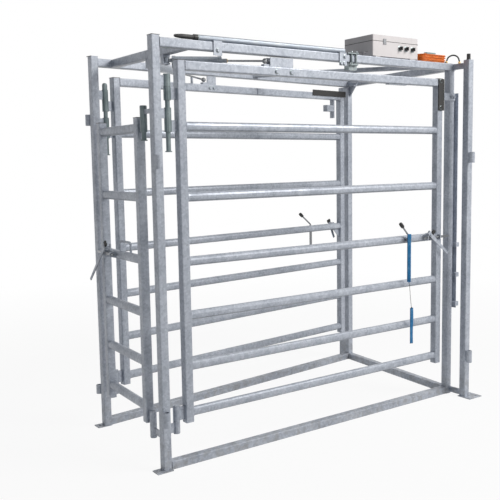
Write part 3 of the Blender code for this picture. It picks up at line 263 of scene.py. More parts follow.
def platedZinc():
    material, tree = newFinish("greenish zinc plate")
    place = objectPlace(tree)
    clouds = remap(tree, noise(tree, place, 34, 5), 0.34, 0.66)
    colour = blendColour(tree, clouds, zincPlate["light"], zincPlate["dark"])
    scratches = remap(tree, noise(tree, stretched(tree, place, (60, 60, 900)), 1.0, 3), 0.60, 0.72)
    colour = blendColour(tree, sums(tree, "MULTIPLY", scratches, 0.5), colour, (0.80, 0.82, 0.80))
    rough = remap(tree, clouds, 0, 1, *zincPlate["roughness"])
    shader(tree, colour, rough, bump(tree, noise(tree, place, 300, 3), 0.10, 0.0004), Metallic=0.6)
    return material


turnedSteel = {"light": (0.34, 0.35, 0.37), "dark": (0.18, 0.19, 0.20), "roughness": (0.20, 0.38)}


def bareSteel():
    material, tree = newFinish("turned steel")
    place = objectPlace(tree)
    lines = noise(tree, stretched(tree, place, (40, 40, 700)), 1.0, 4)
    colour = blendColour(tree, remap(tree, lines, 0.3, 0.7), turnedSteel["light"], turnedSteel["dark"])
    film = remap(tree, noise(tree, place, 55, 5), 0.50, 0.72)
    colour = blendColour(tree, sums(tree, "MULTIPLY", film, 0.35), colour, (0.30, 0.27, 0.24))
    rough = remap(tree, lines, 0.3, 0.7, *turnedSteel["roughness"])
    shader(tree, colour, rough, bump(tree, lines, 0.12, 0.0003), Metallic=1.0)
    return material


drawnAlloy = {"light": (0.38, 0.42, 0.47), "dark": (0.22, 0.25, 0.30), "roughness": (0.28, 0.40)}


def satinAlloy():
    material, tree = newFinish("drawn alloy tube")
    place = objectPlace(tree)
    lines = noise(tree, stretched(tree, place, (6, 260, 260)), 1.0, 4)
    colour = blendColour(tree, remap(tree, lines, 0.3, 0.7), drawnAlloy["light"], drawnAlloy["dark"])
    dust = remap(tree, noise(tree, place, 16, 5), 0.45, 0.75)
    colour = blendColour(tree, sums(tree, "MULTIPLY", dust, 0.25), colour, (0.56, 0.55, 0.52))
    rough = remap(tree, sums(tree, "ADD", lines, dust), 0.3, 1.4, *drawnAlloy["roughness"])
    shader(tree, colour, rough, bump(tree, lines, 0.08, 0.0003), Metallic=0.55)
    return material


boxPaint = {"colour": (0.74, 0.71, 0.72), "worn": (0.58, 0.56, 0.57), "roughness": (0.36, 0.52)}


def greyPaint():
    material, tree = newFinish("grey box paint")
    place = objectPlace(tree)
    marks = remap(tree, noise(tree, place, 11, 6), 0.48, 0.78)
    colour = blendColour(tree, sums(tree, "MULTIPLY", marks, 0.30), boxPaint["colour"], boxPaint["worn"])
    streaks = remap(tree, noise(tree, stretched(tree, place, (90, 90, 5)), 1.0, 4), 0.58, 0.78)
    colour = blendColour(tree, sums(tree, "MULTIPLY", streaks, 0.22), colour, (0.44, 0.43, 0.40))
    peel = noise(tree, place, 520, 2)
    rough = remap(tree, marks, 0, 1, *boxPaint["roughness"])
    shader(tree, colour, rough, bump(tree, peel, 0.10, 0.0004))
    return material


def darkPlain(name, colour, dusty, roughness, grain, strength):
    material, tree = newFinish(name)
    place = objectPlace(tree)
    dust = remap(tree, noise(tree, place, 45, 5), 0.46, 0.76)
    shade = blendColour(tree, sums(tree, "MULTIPLY", dust, 0.5), colour, dusty)
    rough = remap(tree, dust, 0, 1, *roughness)
    shader(tree, shade, rough, bump(tree, noise(tree, place, grain, 3), strength, 0.0006))
    return material


leadSheath = {"colour": (0.90, 0.24, 0.03), "dark": (0.70, 0.15, 0.02), "roughness": (0.40, 0.58)}


def orangeSheath():
    material, tree = newFinish("orange lead sheath")
    place = objectPlace(tree)
    clouds = remap(tree, noise(tree, place, 60, 4), 0.36, 0.66)
    colour = blendColour(tree, clouds, leadSheath["colour"], leadSheath["dark"])
    grime = remap(tree, noise(tree, place, 150, 4), 0.58, 0.76)
    colour = blendColour(tree, sums(tree, "MULTIPLY", grime, 0.4), colour, (0.30, 0.14, 0.07))
    rough = remap(tree, clouds, 0, 1, *leadSheath["roughness"])
    shader(tree, colour, rough, bump(tree, noise(tree, place, 600, 2), 0.12, 0.0003))
    return material


webbing = {"light": (0.01, 0.36, 0.72), "dark": (0.003, 0.11, 0.32), "ribs": 900}


def blueWebbing():
    material, tree = newFinish("blue woven webbing")
    place = objectPlace(tree)
    across = addNode(tree, "ShaderNodeTexWave", scale=webbing["ribs"] / 6.28, wave_type="BANDS", bands_direction="Z")
    tree.links.new(place, across.inputs["Vector"])
    along = addNode(tree, "ShaderNodeTexWave", scale=webbing["ribs"] / 9, wave_type="BANDS", bands_direction="X")
    tree.links.new(place, along.inputs["Vector"])
    weave = sums(tree, "MULTIPLY", across.outputs["Fac"], along.outputs["Fac"])
    colour = blendColour(tree, weave, webbing["dark"], webbing["light"])
    fade = remap(tree, noise(tree, place, 30, 5), 0.45, 0.75)
    colour = blendColour(tree, sums(tree, "MULTIPLY", fade, 0.35), colour, (0.20, 0.42, 0.66))
    rough = remap(tree, weave, 0, 1, 0.85, 0.62)
    shader(tree, colour, rough, bump(tree, weave, 0.5, 0.0006), Sheen_Weight=0.3)
    return material


finishes = {
    "galvanised": zincCoat("galvanised coat", galvanised),
    "zinc": platedZinc(),
    "steel": bareSteel(),
    "alloy": satinAlloy(),
    "grey_paint": greyPaint(),
    "rubber": darkPlain("black rubber", (0.018, 0.018, 0.019), (0.075, 0.072, 0.066), (0.62, 0.85), 240, 0.25),
    "black_plastic": darkPlain("black plastic", (0.014, 0.014, 0.015), (0.05, 0.05, 0.048), (0.32, 0.50), 700, 0.10),
    "orange": orangeSheath(),
    "teal": darkPlain("grey teal plastic", (0.23, 0.33, 0.34), (0.36, 0.40, 0.40), (0.45, 0.62), 500, 0.12),
    "blue_webbing": blueWebbing(),
    "brass": None,
}


def brassMetal():
    material, tree = newFinish("brass")
    place = objectPlace(tree)
    clouds = remap(tree, noise(tree, place, 90, 4), 0.36, 0.66)
    colour = blendColour(tree, clouds, (0.78, 0.56, 0.24), (0.55, 0.36, 0.14))
    rough = remap(tree, clouds, 0, 1, 0.25, 0.42)
    shader(tree, colour, rough, bump(tree, noise(tree, place, 500, 2), 0.08, 0.0003), Metallic=1.0)
    return material


finishes["brass"] = brassMetal()
slotOf = {part["node"]: part["material_slot"] for part in frame["record"]["subparts"]}
for name, node in nodes.items():
    node.data.materials.clear()
    node.data.materials.append(finishes[slotOf[name]])
print("drafting gate: materials on the frame's nodes")


# turns a bmesh into a piece with its finish, riding on a body
def piece(name, bm, finish, body, smoothAngle=35):
    bmesh.ops.remove_doubles(bm, verts=bm.verts, dist=0.00001)
    bmesh.ops.recalc_face_normals(bm, faces=bm.faces)
    mesh = bpy.data.meshes.new(name)
    bm.to_mesh(mesh)
    bm.free()
    made = bpy.data.objects.new(name, mesh)
    bpy.context.collection.objects.link(made)
    mesh.materials.append(finishes[finish])
    if smoothAngle:
        mesh.shade_smooth()
        mesh.set_sharp_from_angle(angle=radians(smoothAngle))
    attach(made, body)
    return made


# lays a shape made round +Z at the origin along a direction from a start point
def lay(bm, start, direction, facing=(0, 0, 1)):
    direction = Vector(direction).normalized()
    side = Vector(facing).cross(direction)
    if side.length < 0.001:
        side = Vector((1, 0, 0)).cross(direction)
    side.normalize()
    turn = Matrix((side, direction.cross(side), direction)).transposed().to_4x4()
    bmesh.ops.transform(bm, matrix=Matrix.Translation(start) @ turn, verts=bm.verts)
    return bm


# a round profile of (height, radius) spun about Z
def spun(profile, steps=24):
    bm = bmesh.new()
    corners = [bm.verts.new((radius, 0, height)) for height, radius in profile]
    edges = [bm.edges.new(pair) for pair in zip(corners, corners[1:])]
    bmesh.ops.spin(bm, geom=corners + edges, axis=(0, 0, 1), cent=(0, 0, 0), steps=steps, angle=2 * pi, use_merge=True)
    bmesh.ops.remove_doubles(bm, verts=bm.verts, dist=0.00001)
    return bm


def joined(parts):
    whole = bmesh.new()
    for part in parts:
        mesh = bpy.data.meshes.new("joined part")
        part.to_mesh(mesh)
        part.free()
        whole.from_mesh(mesh)
        bpy.data.meshes.remove(mesh)
    return whole


def block(size, bevel=0.0, segments=2):
    bm = bmesh.new()
    bmesh.ops.create_cube(bm, size=1)
    bmesh.ops.scale(bm, vec=size, verts=bm.verts)
    if bevel:
        bmesh.ops.bevel(bm, geom=bm.edges[:] + bm.verts[:], offset=bevel, offset_type="OFFSET", segments=segments,
                        profile=0.5, affect="EDGES", material=-1)
    return bm


# the cords come first: orange lead, its end plugs, hose and pull strap
def curvePiece(name, points, radius, finish, body, resolution=4):
    curve = bpy.data.curves.new(name, "CURVE")
    curve.dimensions = "3D"
    curve.bevel_depth = radius
    curve.bevel_resolution = resolution
    curve.use_fill_caps = True
    spline = curve.splines.new("POLY")
    spline.points.add(len(points) - 1)
    for point, place in zip(spline.points, points):
        point.co = (*place, 1)
    spline.use_smooth = True
    made = bpy.data.objects.new(name, curve)
    bpy.context.collection.objects.link(made)
    curve.materials.append(finishes[finish])
    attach(made, body)
    return made


lead = {
    "radius": 0.0037,
    "middle": (2.160, 0.040),
    "half": (0.130, 0.043),
    "loopsPerLayer": 2,
    "layers": 6,
    "loopStep": 0.0100,
    "layerStep": 0.0082,
    "pointsPerLoop": 60,
    "endShare": 0.8,
    "climb": 0.25,
    "clear": 0.0003,
}


# place on a long round-ended loop, as a share of the loop from the middle of its right end
def roundEnded(share, straight, radius):
    share = (share + lead["endShare"] / 4) % 1.0
    side = 1 if share < 0.5 else -1
    share = share % 0.5
    if share < lead["endShare"] / 2:
        angle = pi * (share / (lead["endShare"] / 2) - 0.5)
        return side * (straight + radius * cos(angle)), side * radius * sin(angle)
    along = (share - lead["endShare"] / 2) / (0.5 - lead["endShare"] / 2)
    return side * straight * (1 - 2 * along), side * radius


def hankPoint(turn):
    layer = int(turn // lead["loopsPerLayer"])
    inLayer = turn - layer * lead["loopsPerLayer"]
    inward = inLayer if layer % 2 == 0 else lead["loopsPerLayer"] - inLayer
    height = 0.0
    for k in range(1, lead["layers"]):
        part = min(max((turn - k * lead["loopsPerLayer"] + lead["climb"]) / (2 * lead["climb"]), 0), 1)
        height += lead["layerStep"] * part * part * (3 - 2 * part)
    x, y = roundEnded(turn, lead["half"][0] - lead["half"][1], lead["half"][1] - lead["loopStep"] * inward)
    return Vector((lead["middle"][0] + x, lead["middle"][1] + y, railTop + lead["radius"] + lead["clear"] + height))


# a smooth curve through chosen points, read at even steps
def smoothRun(points, perSpan):
    points = [Vector(p) for p in points]
    padded = [2 * points[0] - points[1]] + points + [2 * points[-1] - points[-2]]
    out = []
    for p0, p1, p2, p3 in zip(padded, padded[1:], padded[2:], padded[3:]):
        for k in range(perSpan):
            u = k / perSpan
            out.append(0.5 * (2 * p1 + (p2 - p0) * u + (2 * p0 - 5 * p1 + 4 * p2 - p3) * u * u
                              + (3 * p1 - p0 - 3 * p2 + p3) * u ** 3))
    return out + [points[-1]]


hank = [hankPoint(k / lead["pointsPerLoop"]) for k in range(lead["loopsPerLayer"] * lead["layers"] * lead["pointsPerLoop"] + 1)]
leadPiece = curvePiece("leadHank", hank, lead["radius"], "orange", "frame")
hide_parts("orange_lead")


def leadPlug(name, end, direction):
    body = spun(((0, 0), (0, 0.0030), (0.0006, 0.0040), (0.006, 0.0041), (0.0066, 0.0036), (0.012, 0.0041),
                 (0.0126, 0.0037), (0.028, 0.0041), (0.030, 0.0036), (0.030, 0.0)), 20)
    pin = spun(((0.0295, 0), (0.0295, 0.0015), (0.037, 0.0015), (0.038, 0.0010), (0.038, 0)), 10)
    made = piece(name, lay(joined([body, pin]), end, direction), "black_plastic", "frame")
    return made


plugs = [leadPlug("leadPlugLow", hank[0] + Vector((0, 0.0006, 0)), (0, -1, 0.0)),
         leadPlug("leadPlugTop", hank[-1] - Vector((0, 0.0006, 0)), (0, 1, 0.0))]

hose = {
    "radius": 0.005,
    "route": [
        (2.3060, 0.0220, 2.3403), (2.3060, 0.0220, 2.3460), (2.3060, 0.0220, 2.3520), (2.3137, 0.0121, 2.3804),
        (2.3323, -0.0120, 2.3930), (2.3509, -0.0361, 2.3804), (2.3585, -0.0460, 2.3500), (2.3585, -0.0460, 2.3400),
        (2.3585, -0.0460, 2.3343),
    ],
}
hoseRun = smoothRun(hose["route"], 5)
hosePiece = curvePiece("cornerHose", hoseRun, hose["radius"], "rubber", "frame", 6)
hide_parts("corner_hose")


def hoseFerrule(name, foot):
    shape = spun(((0, 0.0052), (0, 0.0078), (0.002, 0.0082), (0.008, 0.0082), (0.010, 0.0074), (0.013, 0.0062),
                  (0.014, 0.0054), (0.013, 0.0052)), 24)
    return piece(name, lay(shape, foot, (0, 0, 1)), "brass", "frame")


ferrules = [hoseFerrule("hoseFerruleRail", hoseRun[0]), hoseFerrule("hoseFerrulePost", hoseRun[-1])]

pull = {
    "strap": [(1.8900, 0.0310, 0.040), (1.8830, 0.0375, 0.020), (1.8810, 0.0380, -0.026), (1.8840, 0.0350, -0.284)],
    "strapWidth": 0.026,
    "strapLean": 35,
    "cord": [(1.8860, 0.0350, -0.2843), (1.8950, 0.0345, -0.3450), (1.9030, 0.0328, -0.4000), (1.9130, 0.0320, -0.4640)],
    "cordRadius": 0.0015,
    "tail": [(1.9150, 0.0320, -0.4643), (1.9153, 0.0328, -0.5400), (1.9148, 0.0314, -0.6300), (1.9150, 0.0320, -0.7110)],
    "tailWidth": 0.024,
    "tailLean": 15,
    "thickness": 0.0018,
}


def onGate(places):
    return [onSide(frontSide, s, t, boltZ + z) for s, t, z in places]


# flat webbing: its left edge is drawn along the run and extruded across in a few steps, then given its thickness
def webStrip(name, points, width, turned, swing):
    bm = bmesh.new()
    left = [bm.verts.new(p) for p in points]
    row = [bm.edges.new(pair) for pair in zip(left, left[1:])]
    steps = 4
    across = {}
    for index, point in enumerate(points):
        lean = radians(turned) + radians(swing) * sin(2 * pi * index / (len(points) - 1))
        across[index] = Vector((cos(lean), -sin(lean), 0)) * width
        left[index].co = point - across[index] / 2
    order = {v: k for k, v in enumerate(left)}
    for step in range(steps):
        grown = bmesh.ops.extrude_edge_only(bm, edges=row)["geom"]
        fresh = [g for g in grown if isinstance(g, bmesh.types.BMVert)]
        row = [g for g in grown if isinstance(g, bmesh.types.BMEdge) and g.verts[0] in fresh and g.verts[1] in fresh]
        places = {v: min(order, key=lambda old: (old.co - v.co).length) for v in fresh}
        order = {v: order[old] for v, old in places.items()}
        for v, k in order.items():
            v.co += across[k] / steps
    made = piece(name, bm, "blue_webbing", "front_lift_pin")
    wall = made.modifiers.new("web thickness", "SOLIDIFY")
    wall.thickness = pull["thickness"]
    wall.offset = 0
    return made


strapRun = smoothRun(onGate(pull["strap"]), 8)
strapPiece = webStrip("pullStrap", strapRun, pull["strapWidth"], pull["strapLean"], 5)
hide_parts("pull_strap")
cordRun = smoothRun(onGate(pull["cord"]), 6)
cordPiece = curvePiece("pullCord", cordRun, pull["cordRadius"], "black_plastic", "front_lift_pin", 3)
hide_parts("pull_cord")
tailRun = smoothRun(onGate(pull["tail"]), 8)
tailPiece = webStrip("pullTail", tailRun, pull["tailWidth"], pull["tailLean"], 7)
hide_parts("pull_tail")


def knotPiece(name, place, size, finish):
    bm = bmesh.new()
    bmesh.ops.create_uvsphere(bm, u_segments=16, v_segments=10, radius=size)
    bmesh.ops.scale(bm, vec=(1.15, 0.8, 1.0), verts=bm.verts)
    for v in bm.verts:
        v.co *= 1 + 0.10 * sin(9 * atan2(v.co.y, v.co.x) + 900 * v.co.z)
    bmesh.ops.translate(bm, vec=place, verts=bm.verts)
    return piece(name, bm, finish, "front_lift_pin", 60)


knots = [knotPiece("strapKnot", strapRun[-1], 0.0045, "blue_webbing"), knotPiece("tailKnot", tailRun[0], 0.0050, "black_plastic")]
print("drafting gate: cords made")


# weld beads: rippled rings round the rails where they meet the stiles and posts
weld = {
    "radius": 0.0019,
    "step": 0.0032,
    "rails": [0.3005 + share * 1.9065 for share in (0.0, 0.1377, 0.2869, 0.4451, 0.6302, 0.8295)],
    "ovalHalf": (0.0212, 0.0252),
    "ovalPower": 0.42,
    "squareHalf": (0.0247, 0.0247),
    "squarePower": 0.16,
}
gates = {
    "front_gate": {"side": frontSide, "inner": 0.2000, "outer": 2.1962, "top": True, "barrel": (0.098, 0.148)},
    "back_gate": {"side": backSide, "inner": 0.2070, "outer": 2.3122, "top": True, "barrel": (0.107, 0.157)},
    "end_gate": {"side": leftSide, "inner": 0.2740, "outer": 0.7905, "top": False, "barrel": (0.185, 0.224)},
}


# a closed ring round a tube's end, in the plane across the side
def weldRing(side, s, z, half, power):
    places = []
    count = int(2 * pi * (half[0] + half[1]) / 2 / weld["step"])
    for k in range(count):
        turn = 2 * pi * k / count
        a = abs(cos(turn)) ** power * (1 if cos(turn) >= 0 else -1)
        b = abs(sin(turn)) ** power * (1 if sin(turn) >= 0 else -1)
        places.append(onSide(side, s, -0.025 + half[0] * a, z + half[1] * b))
    return places


def weldLine(start, end):
    count = max(int((end - start).length / weld["step"]), 3)
    return [start.lerp(end, k / count) for k in range(count + 1)]


def weldPiece(name, body, rings, lines):
    curve = bpy.data.curves.new(name, "CURVE")
    curve.dimensions = "3D"
    curve.bevel_depth = weld["radius"]
    curve.bevel_resolution = 2
    curve.use_fill_caps = True
    for closed, runs in ((True, rings), (False, lines)):
        for places in runs:
            spline = curve.splines.new("POLY")
            spline.points.add(len(places) - 1)
            for k, (point, place) in enumerate(zip(spline.points, places)):
                point.co = (*place, 1)
                point.radius = 0.92 + 0.20 * abs(sin(k * 1.4 + place[2] * 31)) + 0.10 * sin(k * 0.37 + place[0] * 57)
            spline.use_cyclic_u = closed
            spline.use_smooth = True
    made = bpy.data.objects.new(name, curve)
    bpy.context.collection.objects.link(made)
    curve.materials.append(finishes["galvanised"])
    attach(made, body)
    return made


for name, gate in gates.items():
    rings = []
    for z in weld["rails"]:
        rings.append(weldRing(gate["side"], gate["inner"] + 0.0012, z, weld["ovalHalf"], weld["ovalPower"]))
        rings.append(weldRing(gate["side"], gate["outer"] - 0.0012, z, weld["ovalHalf"], weld["ovalPower"]))
    if gate["top"]:
        for s in (gate["inner"] + 0.0010, gate["outer"] - 0.0010):
            rings.append(weldRing(gate["side"], s, 2.2045, weld["squareHalf"], weld["squarePower"]))
    weldPiece(name + "Welds", name, rings, [])

rings = []
for side, ends in ((frontSide, (0.0512, 2.3160)), (backSide, (0.0516, 2.4088))):
    for z in (0.0260, 2.3145):
        for s in ends:
            if z < 1 or s < 1:
                rings.append([v if v.z > 0.0026 else Vector((v.x, v.y, 0.0026)) for v in
                              weldRing(side, s, z, weld["squareHalf"], weld["squarePower"])])
weldPiece("frameWelds", "frame", rings, [])
print("drafting gate: welds made")


# nuts and washers: a washer and a hexagon nut at the lower and upper end of each stud of the clamp block
def washer(inner, outer, height):
    return spun(((0, inner), (0, outer), (height * 0.8, outer), (height, outer - 0.0006), (height, inner), (0, inner)), 28)


def hexNut(across, height, bore):
    bm = bmesh.new()
    bmesh.ops.create_cone(bm, cap_ends=True, segments=6, radius1=across / 1.732, radius2=across / 1.732, depth=height)
    bmesh.ops.bevel(bm, geom=bm.edges[:] + bm.verts[:], offset=0.0006, offset_type="OFFSET", segments=2,
                    profile=0.5, affect="EDGES", material=-1)
    bmesh.ops.translate(bm, vec=(0, 0, height / 2), verts=bm.verts)
    return bm


# a threaded end as close rings
def threadEnd(radius, length, pitch=0.0015):
    profile = [(0, 0)]
    for k in range(int(length / pitch)):
        profile += [(k * pitch, radius * 0.88), ((k + 0.5) * pitch, radius)]
    return spun(profile + [(length, radius * 0.88), (length, 0)], 20)


studs = {"s": (1.393, 1.431), "t": 0.0068, "lower": 2.2798, "upper": 2.3462}
studParts = []
for s in studs["s"]:
    for z, turn in ((studs["lower"], -1), (studs["upper"], 1)):
        place = onSide(frontSide, s, studs["t"], z)
        studParts.append(lay(washer(0.0053, 0.0108, 0.0016), place, (0, 0, turn)))
        studParts.append(lay(hexNut(0.0165, 0.0080, 0), place + Vector((0, 0, turn * 0.0017)), (0, 0, turn)))
piece("studNuts", joined(studParts), "zinc", "frame")

# valve box: gasket line between base and lid
boxFittings = {"x": (1.5855, 1.9995), "y": (0.0056, 0.2690), "seam": 2.4400, "knobs": (1.830, 1.886, 1.946), "knobZ": 2.404}
print("drafting gate: nuts made")
bead = block((0.4150, 0.0016, 0.0036), 0.0005)
middle = (boxFittings["x"][0] + boxFittings["x"][1]) / 2
bmesh.ops.translate(bead, vec=(middle, 0.0056, boxFittings["seam"]), verts=bead.verts)
boxParts = [bead]
for x in boxFittings["x"]:
    bead = block((0.0016, 0.2560, 0.0036), 0.0005)
    bmesh.ops.translate(bead, vec=(x, 0.1360, boxFittings["seam"]), verts=bead.verts)
    boxParts.append(bead)
piece("boxGasket", joined(boxParts), "rubber", "frame")

# a plain indicator plate round each knob's boss
plateParts = []
for x in boxFittings["knobs"]:
    plate = block((0.0300, 0.0012, 0.0340), 0.0004)
    bmesh.ops.translate(plate, vec=(x, 0.0034, boxFittings["knobZ"]), verts=plate.verts)
    plateParts.append(plate)
piece("knobPlates", joined(plateParts), "zinc", "frame")

# cylinders: tie rings at the barrel's ends, an elbow port with a collet on each cap, a wiper ring at the gland
cylinders = {
    "front_barrel": {"start": Vector((0.235, 0.265, 2.261)), "end": Vector((0.746, 0.025, 2.261)), "length": 0.252},
    "back_barrel": {"start": Vector((0.245, 0.460, 2.261)), "end": onSide(backSide, 0.900, -0.030, 2.261), "length": 0.395},
}


def airPort(place, up, along):
    body = spun(((0, 0), (0, 0.0058), (0.006, 0.0058), (0.0066, 0.0066), (0.0110, 0.0066), (0.0116, 0.0050),
                 (0.0170, 0.0050), (0.0180, 0.0040), (0.0180, 0)), 20)
    collet = spun(((0, 0.0026), (0, 0.0056), (0.0100, 0.0056), (0.0105, 0.0050), (0.0110, 0.0062), (0.0130, 0.0062),
                   (0.0136, 0.0050), (0.0136, 0.0026), (0, 0.0026)), 20)
    lay(body, place, up)
    return joined([body, lay(collet, place + up * 0.0135 + along * 0.0030, along)])


for body, air in cylinders.items():
    along = (air["end"] - air["start"]).normalized()
    upward = Vector((0, 0, 1))
    rings = []
    for reach in (0.0475, 0.0450 + air["length"] - 0.0060):
        band = spun(((0, 0.0232), (0, 0.0247), (0.0006, 0.0252), (0.0034, 0.0252), (0.0040, 0.0247), (0.0040, 0.0232),
                     (0, 0.0232)), 48)
        rings.append(lay(band, air["start"] + along * reach, along))
    piece(body + "Bands", joined(rings), "zinc", body)
    ports = []
    for reach, way in ((0.0385, 1), (0.0450 + air["length"] + 0.0052, -1)):
        ports.append(airPort(air["start"] + along * reach - upward * 0.0252, -upward, along * way))
    piece(body + "Ports", joined(ports), "black_plastic", body)
    wiper = spun(((0, 0.0068), (0, 0.0112), (0.0030, 0.0112), (0.0042, 0.0080), (0.0042, 0.0068), (0, 0.0068)), 32)
    reach = 0.0450 + air["length"] - 0.003 + 0.017 - 0.002 + 0.034 + 0.0003
    piece(body + "Wiper", lay(wiper, air["start"] + along * reach, along), "brass", body)
print("drafting gate: box and cylinder fittings made")

# black balls on the lift pins' cranks
def ballGrip(name, side, knob, elbow, body):
    start = onSide(side, knob[0], 0.0165, knob[1])
    direction = (start - onSide(side, elbow[0], 0.0165, elbow[1])).normalized()
    shape = spun(((-0.004, 0.0058), (-0.0035, 0.0085), (0.000, 0.0112), (0.006, 0.0124), (0.018, 0.0128),
                  (0.030, 0.0124), (0.0355, 0.0108), (0.0385, 0.0070), (0.0392, 0.0)), 28)
    return piece(name, lay(shape, start, direction), "black_plastic", body, 50)


pins = {
    "front_lift_pin": {"side": frontSide, "s": 1.901, "knob": (1.843, boltZ + 0.088)},
    "back_lift_pin": {"side": backSide, "s": 2.016, "knob": (1.922, boltZ + 0.101)},
}
for body, pin in pins.items():
    ballGrip(body + "Ball", pin["side"], pin["knob"], (pin["s"] - 0.014, boltZ + 0.040), body)

# rubber sleeves on the short arms of the latch levers
levers = {
    "front_latch_lever": {"side": frontSide, "pivot": (2.246 + 0.055 - 0.161, 0.020), "end": (2.246 + 0.027, -0.118)},
    "back_latch_lever": {"side": backSide, "pivot": (2.362 + 0.014 - 0.020 - 0.120 + 0.030, 0.020), "end": (2.362 - 0.044, -0.100)},
    "end_latch_lever": {"side": leftSide, "pivot": (0.8403 + 0.008 - 0.160, 0.047), "end": (0.8403 + 0.115, -0.188)},
}
for body, lever in levers.items():
    pivot = Vector((lever["pivot"][0], 0, lever["pivot"][1]))
    arm = (Vector((lever["end"][0], 0, lever["end"][1])) - pivot).normalized()
    centre = pivot - arm * 0.0245
    sleeve = block((0.0330, 0.0126, 0.0240), 0.0030, 3)
    place = onSide(lever["side"], centre.x, 0.0356, boltZ + centre.z)
    along = lever["side"]["along"] * arm.x + Vector((0, 0, 1)) * arm.z
    lay(sleeve, place, along, lever["side"]["outward"].cross(along).cross(along))
    piece(body + "Sleeve", sleeve, "rubber", body)
print("drafting gate: grips made")

# washers under the hexagon heads: (side, s, t, z, facing, outer radius) by body
washers = {
    "frame": [(frontSide, s, 0.0060, z, 1, 0.0132)
              for s, z in ((0.407, 2.294), (1.306, 2.279), (1.331, 2.279), (1.338, 2.320))],
    "front_gate": [(frontSide, 0.814, 0.0, 2.203, 1, 0.0148), (frontSide, 0.923, 0.0, 2.203, 1, 0.0148),
                   (frontSide, 2.221, 0.0060, 2.036, 1, 0.0132), (frontSide, 2.221, 0.0060, 2.216, 1, 0.0132)],
    "back_gate": [(backSide, 0.9405, -0.050, 2.206, -1, 0.0135), (backSide, 0.9765, -0.050, 2.206, -1, 0.0135)],
}
for body, places in washers.items():
    rings = [lay(washer(0.0050, radius, 0.0014), onSide(side, s, t, z), side["outward"] * facing)
             for side, s, t, z, facing, radius in places]
    piece(body + "Washers", joined(rings), "zinc", body)

# conduit: a mouth ring where the fitting screws on, and ribs along the fitting's cap
conduit = {"z": 2.3573, "mouth": 0.2975, "fitting": 0.2690, "ribs": 5}
axis = frontSide["along"]
mouth = spun(((0, 0.0150), (0, 0.0168), (0.0040, 0.0168), (0.0046, 0.0160), (0.0046, 0.0150), (0, 0.0150)), 40)
lay(mouth, onSide(frontSide, conduit["mouth"] - 0.0046, -0.025, conduit["z"]), axis)
piece("conduitMouth", mouth, "zinc", "frame")
ribs = []
for k in range(conduit["ribs"]):
    rib = spun(((0, 0.0163), (0.0004, 0.0168), (0.0020, 0.0168), (0.0024, 0.0163), (0, 0.0163)), 40)
    ribs.append(lay(rib, onSide(frontSide, conduit["fitting"] + 0.004 + 0.0040 * k, -0.025, conduit["z"]), axis))
piece("fittingRibs", joined(ribs), "black_plastic", "frame")
print("drafting gate: washers and conduit details made")

# caps on the open tops of the posts and stiles, in black as painted shade for the dark shaded edge along the post
# tops; (side, start along it, top) by body
capSize = {"width": 0.0506, "height": 0.0036, "bevel": 0.0009}
capPlaces = {
    "frame": [(frontSide, 0.0, 2.352), (backSide, 0.0, 2.352)],
    "front_gate": [(frontSide, 0.150, 2.232), (frontSide, 2.196, 2.232)],
    "back_gate": [(backSide, 0.157, 2.232), (backSide, 2.312, 2.232)],
    "end_gate": [(leftSide, 0.224, 1.940), (leftSide, 0.7903, 1.940)],
}
for body, places in capPlaces.items():
    caps = []
    for side, s, top in places:
        cap = block((capSize["width"], capSize["width"], capSize["height"]), capSize["bevel"])
        centre = onSide(side, s + 0.025, -0.025, top - 0.0012)
        caps.append(lay(cap, centre, (0, 0, 1), side["outward"]))
    piece(body + "DarkShadeCaps", joined(caps), "black_plastic", body)
print("drafting gate: caps made")

# pale floor, lit by large soft lamps
studio = {"floor": 40.0, "plain": 0.93, "world": 0.13}


def seenDirectly(tree):
    rays = addNode(tree, "ShaderNodeLightPath")
    mirrored = sums(tree, "MAXIMUM", rays.outputs["Is Glossy Ray"], rays.outputs["Is Transmission Ray"])
    return sums(tree, "MAXIMUM", rays.outputs["Is Camera Ray"], mirrored)


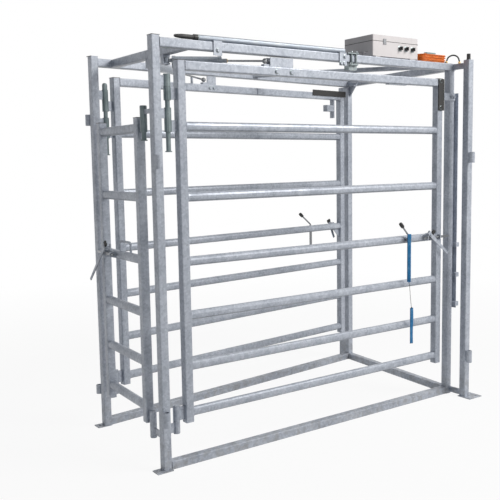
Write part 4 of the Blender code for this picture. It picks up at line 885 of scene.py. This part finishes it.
def studioPaper():
    material, tree = newFinish("studio paper")
    place = objectPlace(tree)
    soft = remap(tree, noise(tree, place, 1.2, 3), 0.3, 0.7)
    colour = blendColour(tree, soft, (0.805, 0.805, 0.805), (0.785, 0.785, 0.783))
    shader(tree, colour, 0.85)
    # the eye and mirror rays see most of the paper as plain white, all of it far from the gate
    away = addNode(tree, "ShaderNodeVectorMath", operation="DISTANCE")
    tree.links.new(place, away.inputs[0])
    away.inputs[1].default_value = (1.2, 0.5, 0)
    share = remap(tree, away.outputs["Value"], 2.5, 6.5, studio["plain"], 1.0)
    factor = sums(tree, "MULTIPLY", share, seenDirectly(tree))
    glow = addNode(tree, "ShaderNodeEmission")
    glow.inputs["Color"].default_value = (1, 1, 1, 1)
    mixed = addNode(tree, "ShaderNodeMixShader")
    tree.links.new(factor, mixed.inputs["Fac"])
    tree.links.new(tree.nodes["Principled BSDF"].outputs["BSDF"], mixed.inputs[1])
    tree.links.new(glow.outputs["Emission"], mixed.inputs[2])
    tree.links.new(mixed.outputs["Shader"], tree.nodes["Material Output"].inputs["Surface"])
    return material


bm = bmesh.new()
bmesh.ops.create_grid(bm, x_segments=2, y_segments=2, size=studio["floor"])
floorMesh = bpy.data.meshes.new("studioFloor")
bm.to_mesh(floorMesh)
bm.free()
floor = bpy.data.objects.new("studioFloor", floorMesh)
floorMesh.materials.append(studioPaper())
bpy.context.collection.objects.link(floor)

world = bpy.data.worlds.new("studio world")
world.use_nodes = True
bpy.context.scene.world = world
tree = world.node_tree
tree.nodes.clear()
out = tree.nodes.new("ShaderNodeOutputWorld")
lamp = addNode(tree, "ShaderNodeBackground")
lamp.inputs["Color"].default_value = (0.90, 0.94, 1.0, 1)
lamp.inputs["Strength"].default_value = studio["world"]
white = addNode(tree, "ShaderNodeBackground")
white.inputs["Color"].default_value = (1, 1, 1, 1)
white.inputs["Strength"].default_value = 1.0
mixed = addNode(tree, "ShaderNodeMixShader")
tree.links.new(seenDirectly(tree), mixed.inputs["Fac"])
tree.links.new(lamp.outputs["Background"], mixed.inputs[1])
tree.links.new(white.outputs["Background"], mixed.inputs[2])
tree.links.new(mixed.outputs["Shader"], out.inputs["Surface"])


def softLamp(name, place, target, size, power, colour):
    data = bpy.data.lights.new(name, "AREA")
    data.shape = "RECTANGLE"
    data.size, data.size_y = size
    data.energy = power
    data.color = colour
    made = bpy.data.objects.new(name, data)
    bpy.context.collection.objects.link(made)
    made.location = place
    made.rotation_euler = (Vector(target) - Vector(place)).to_track_quat("-Z", "Y").to_euler()


softLamp("keyLamp", (4.5, -4.5, 5.5), (1.2, 0.4, 1.0), (3.0, 3.0), 400, (1.0, 0.98, 0.95))
softLamp("leftLamp", (-4.5, -2.0, 3.2), (1.2, 0.4, 1.0), (2.5, 3.0), 2, (0.94, 0.97, 1.0))

bpy.context.scene.view_settings.view_transform = "Standard"
print("drafting gate: stage and lamps")
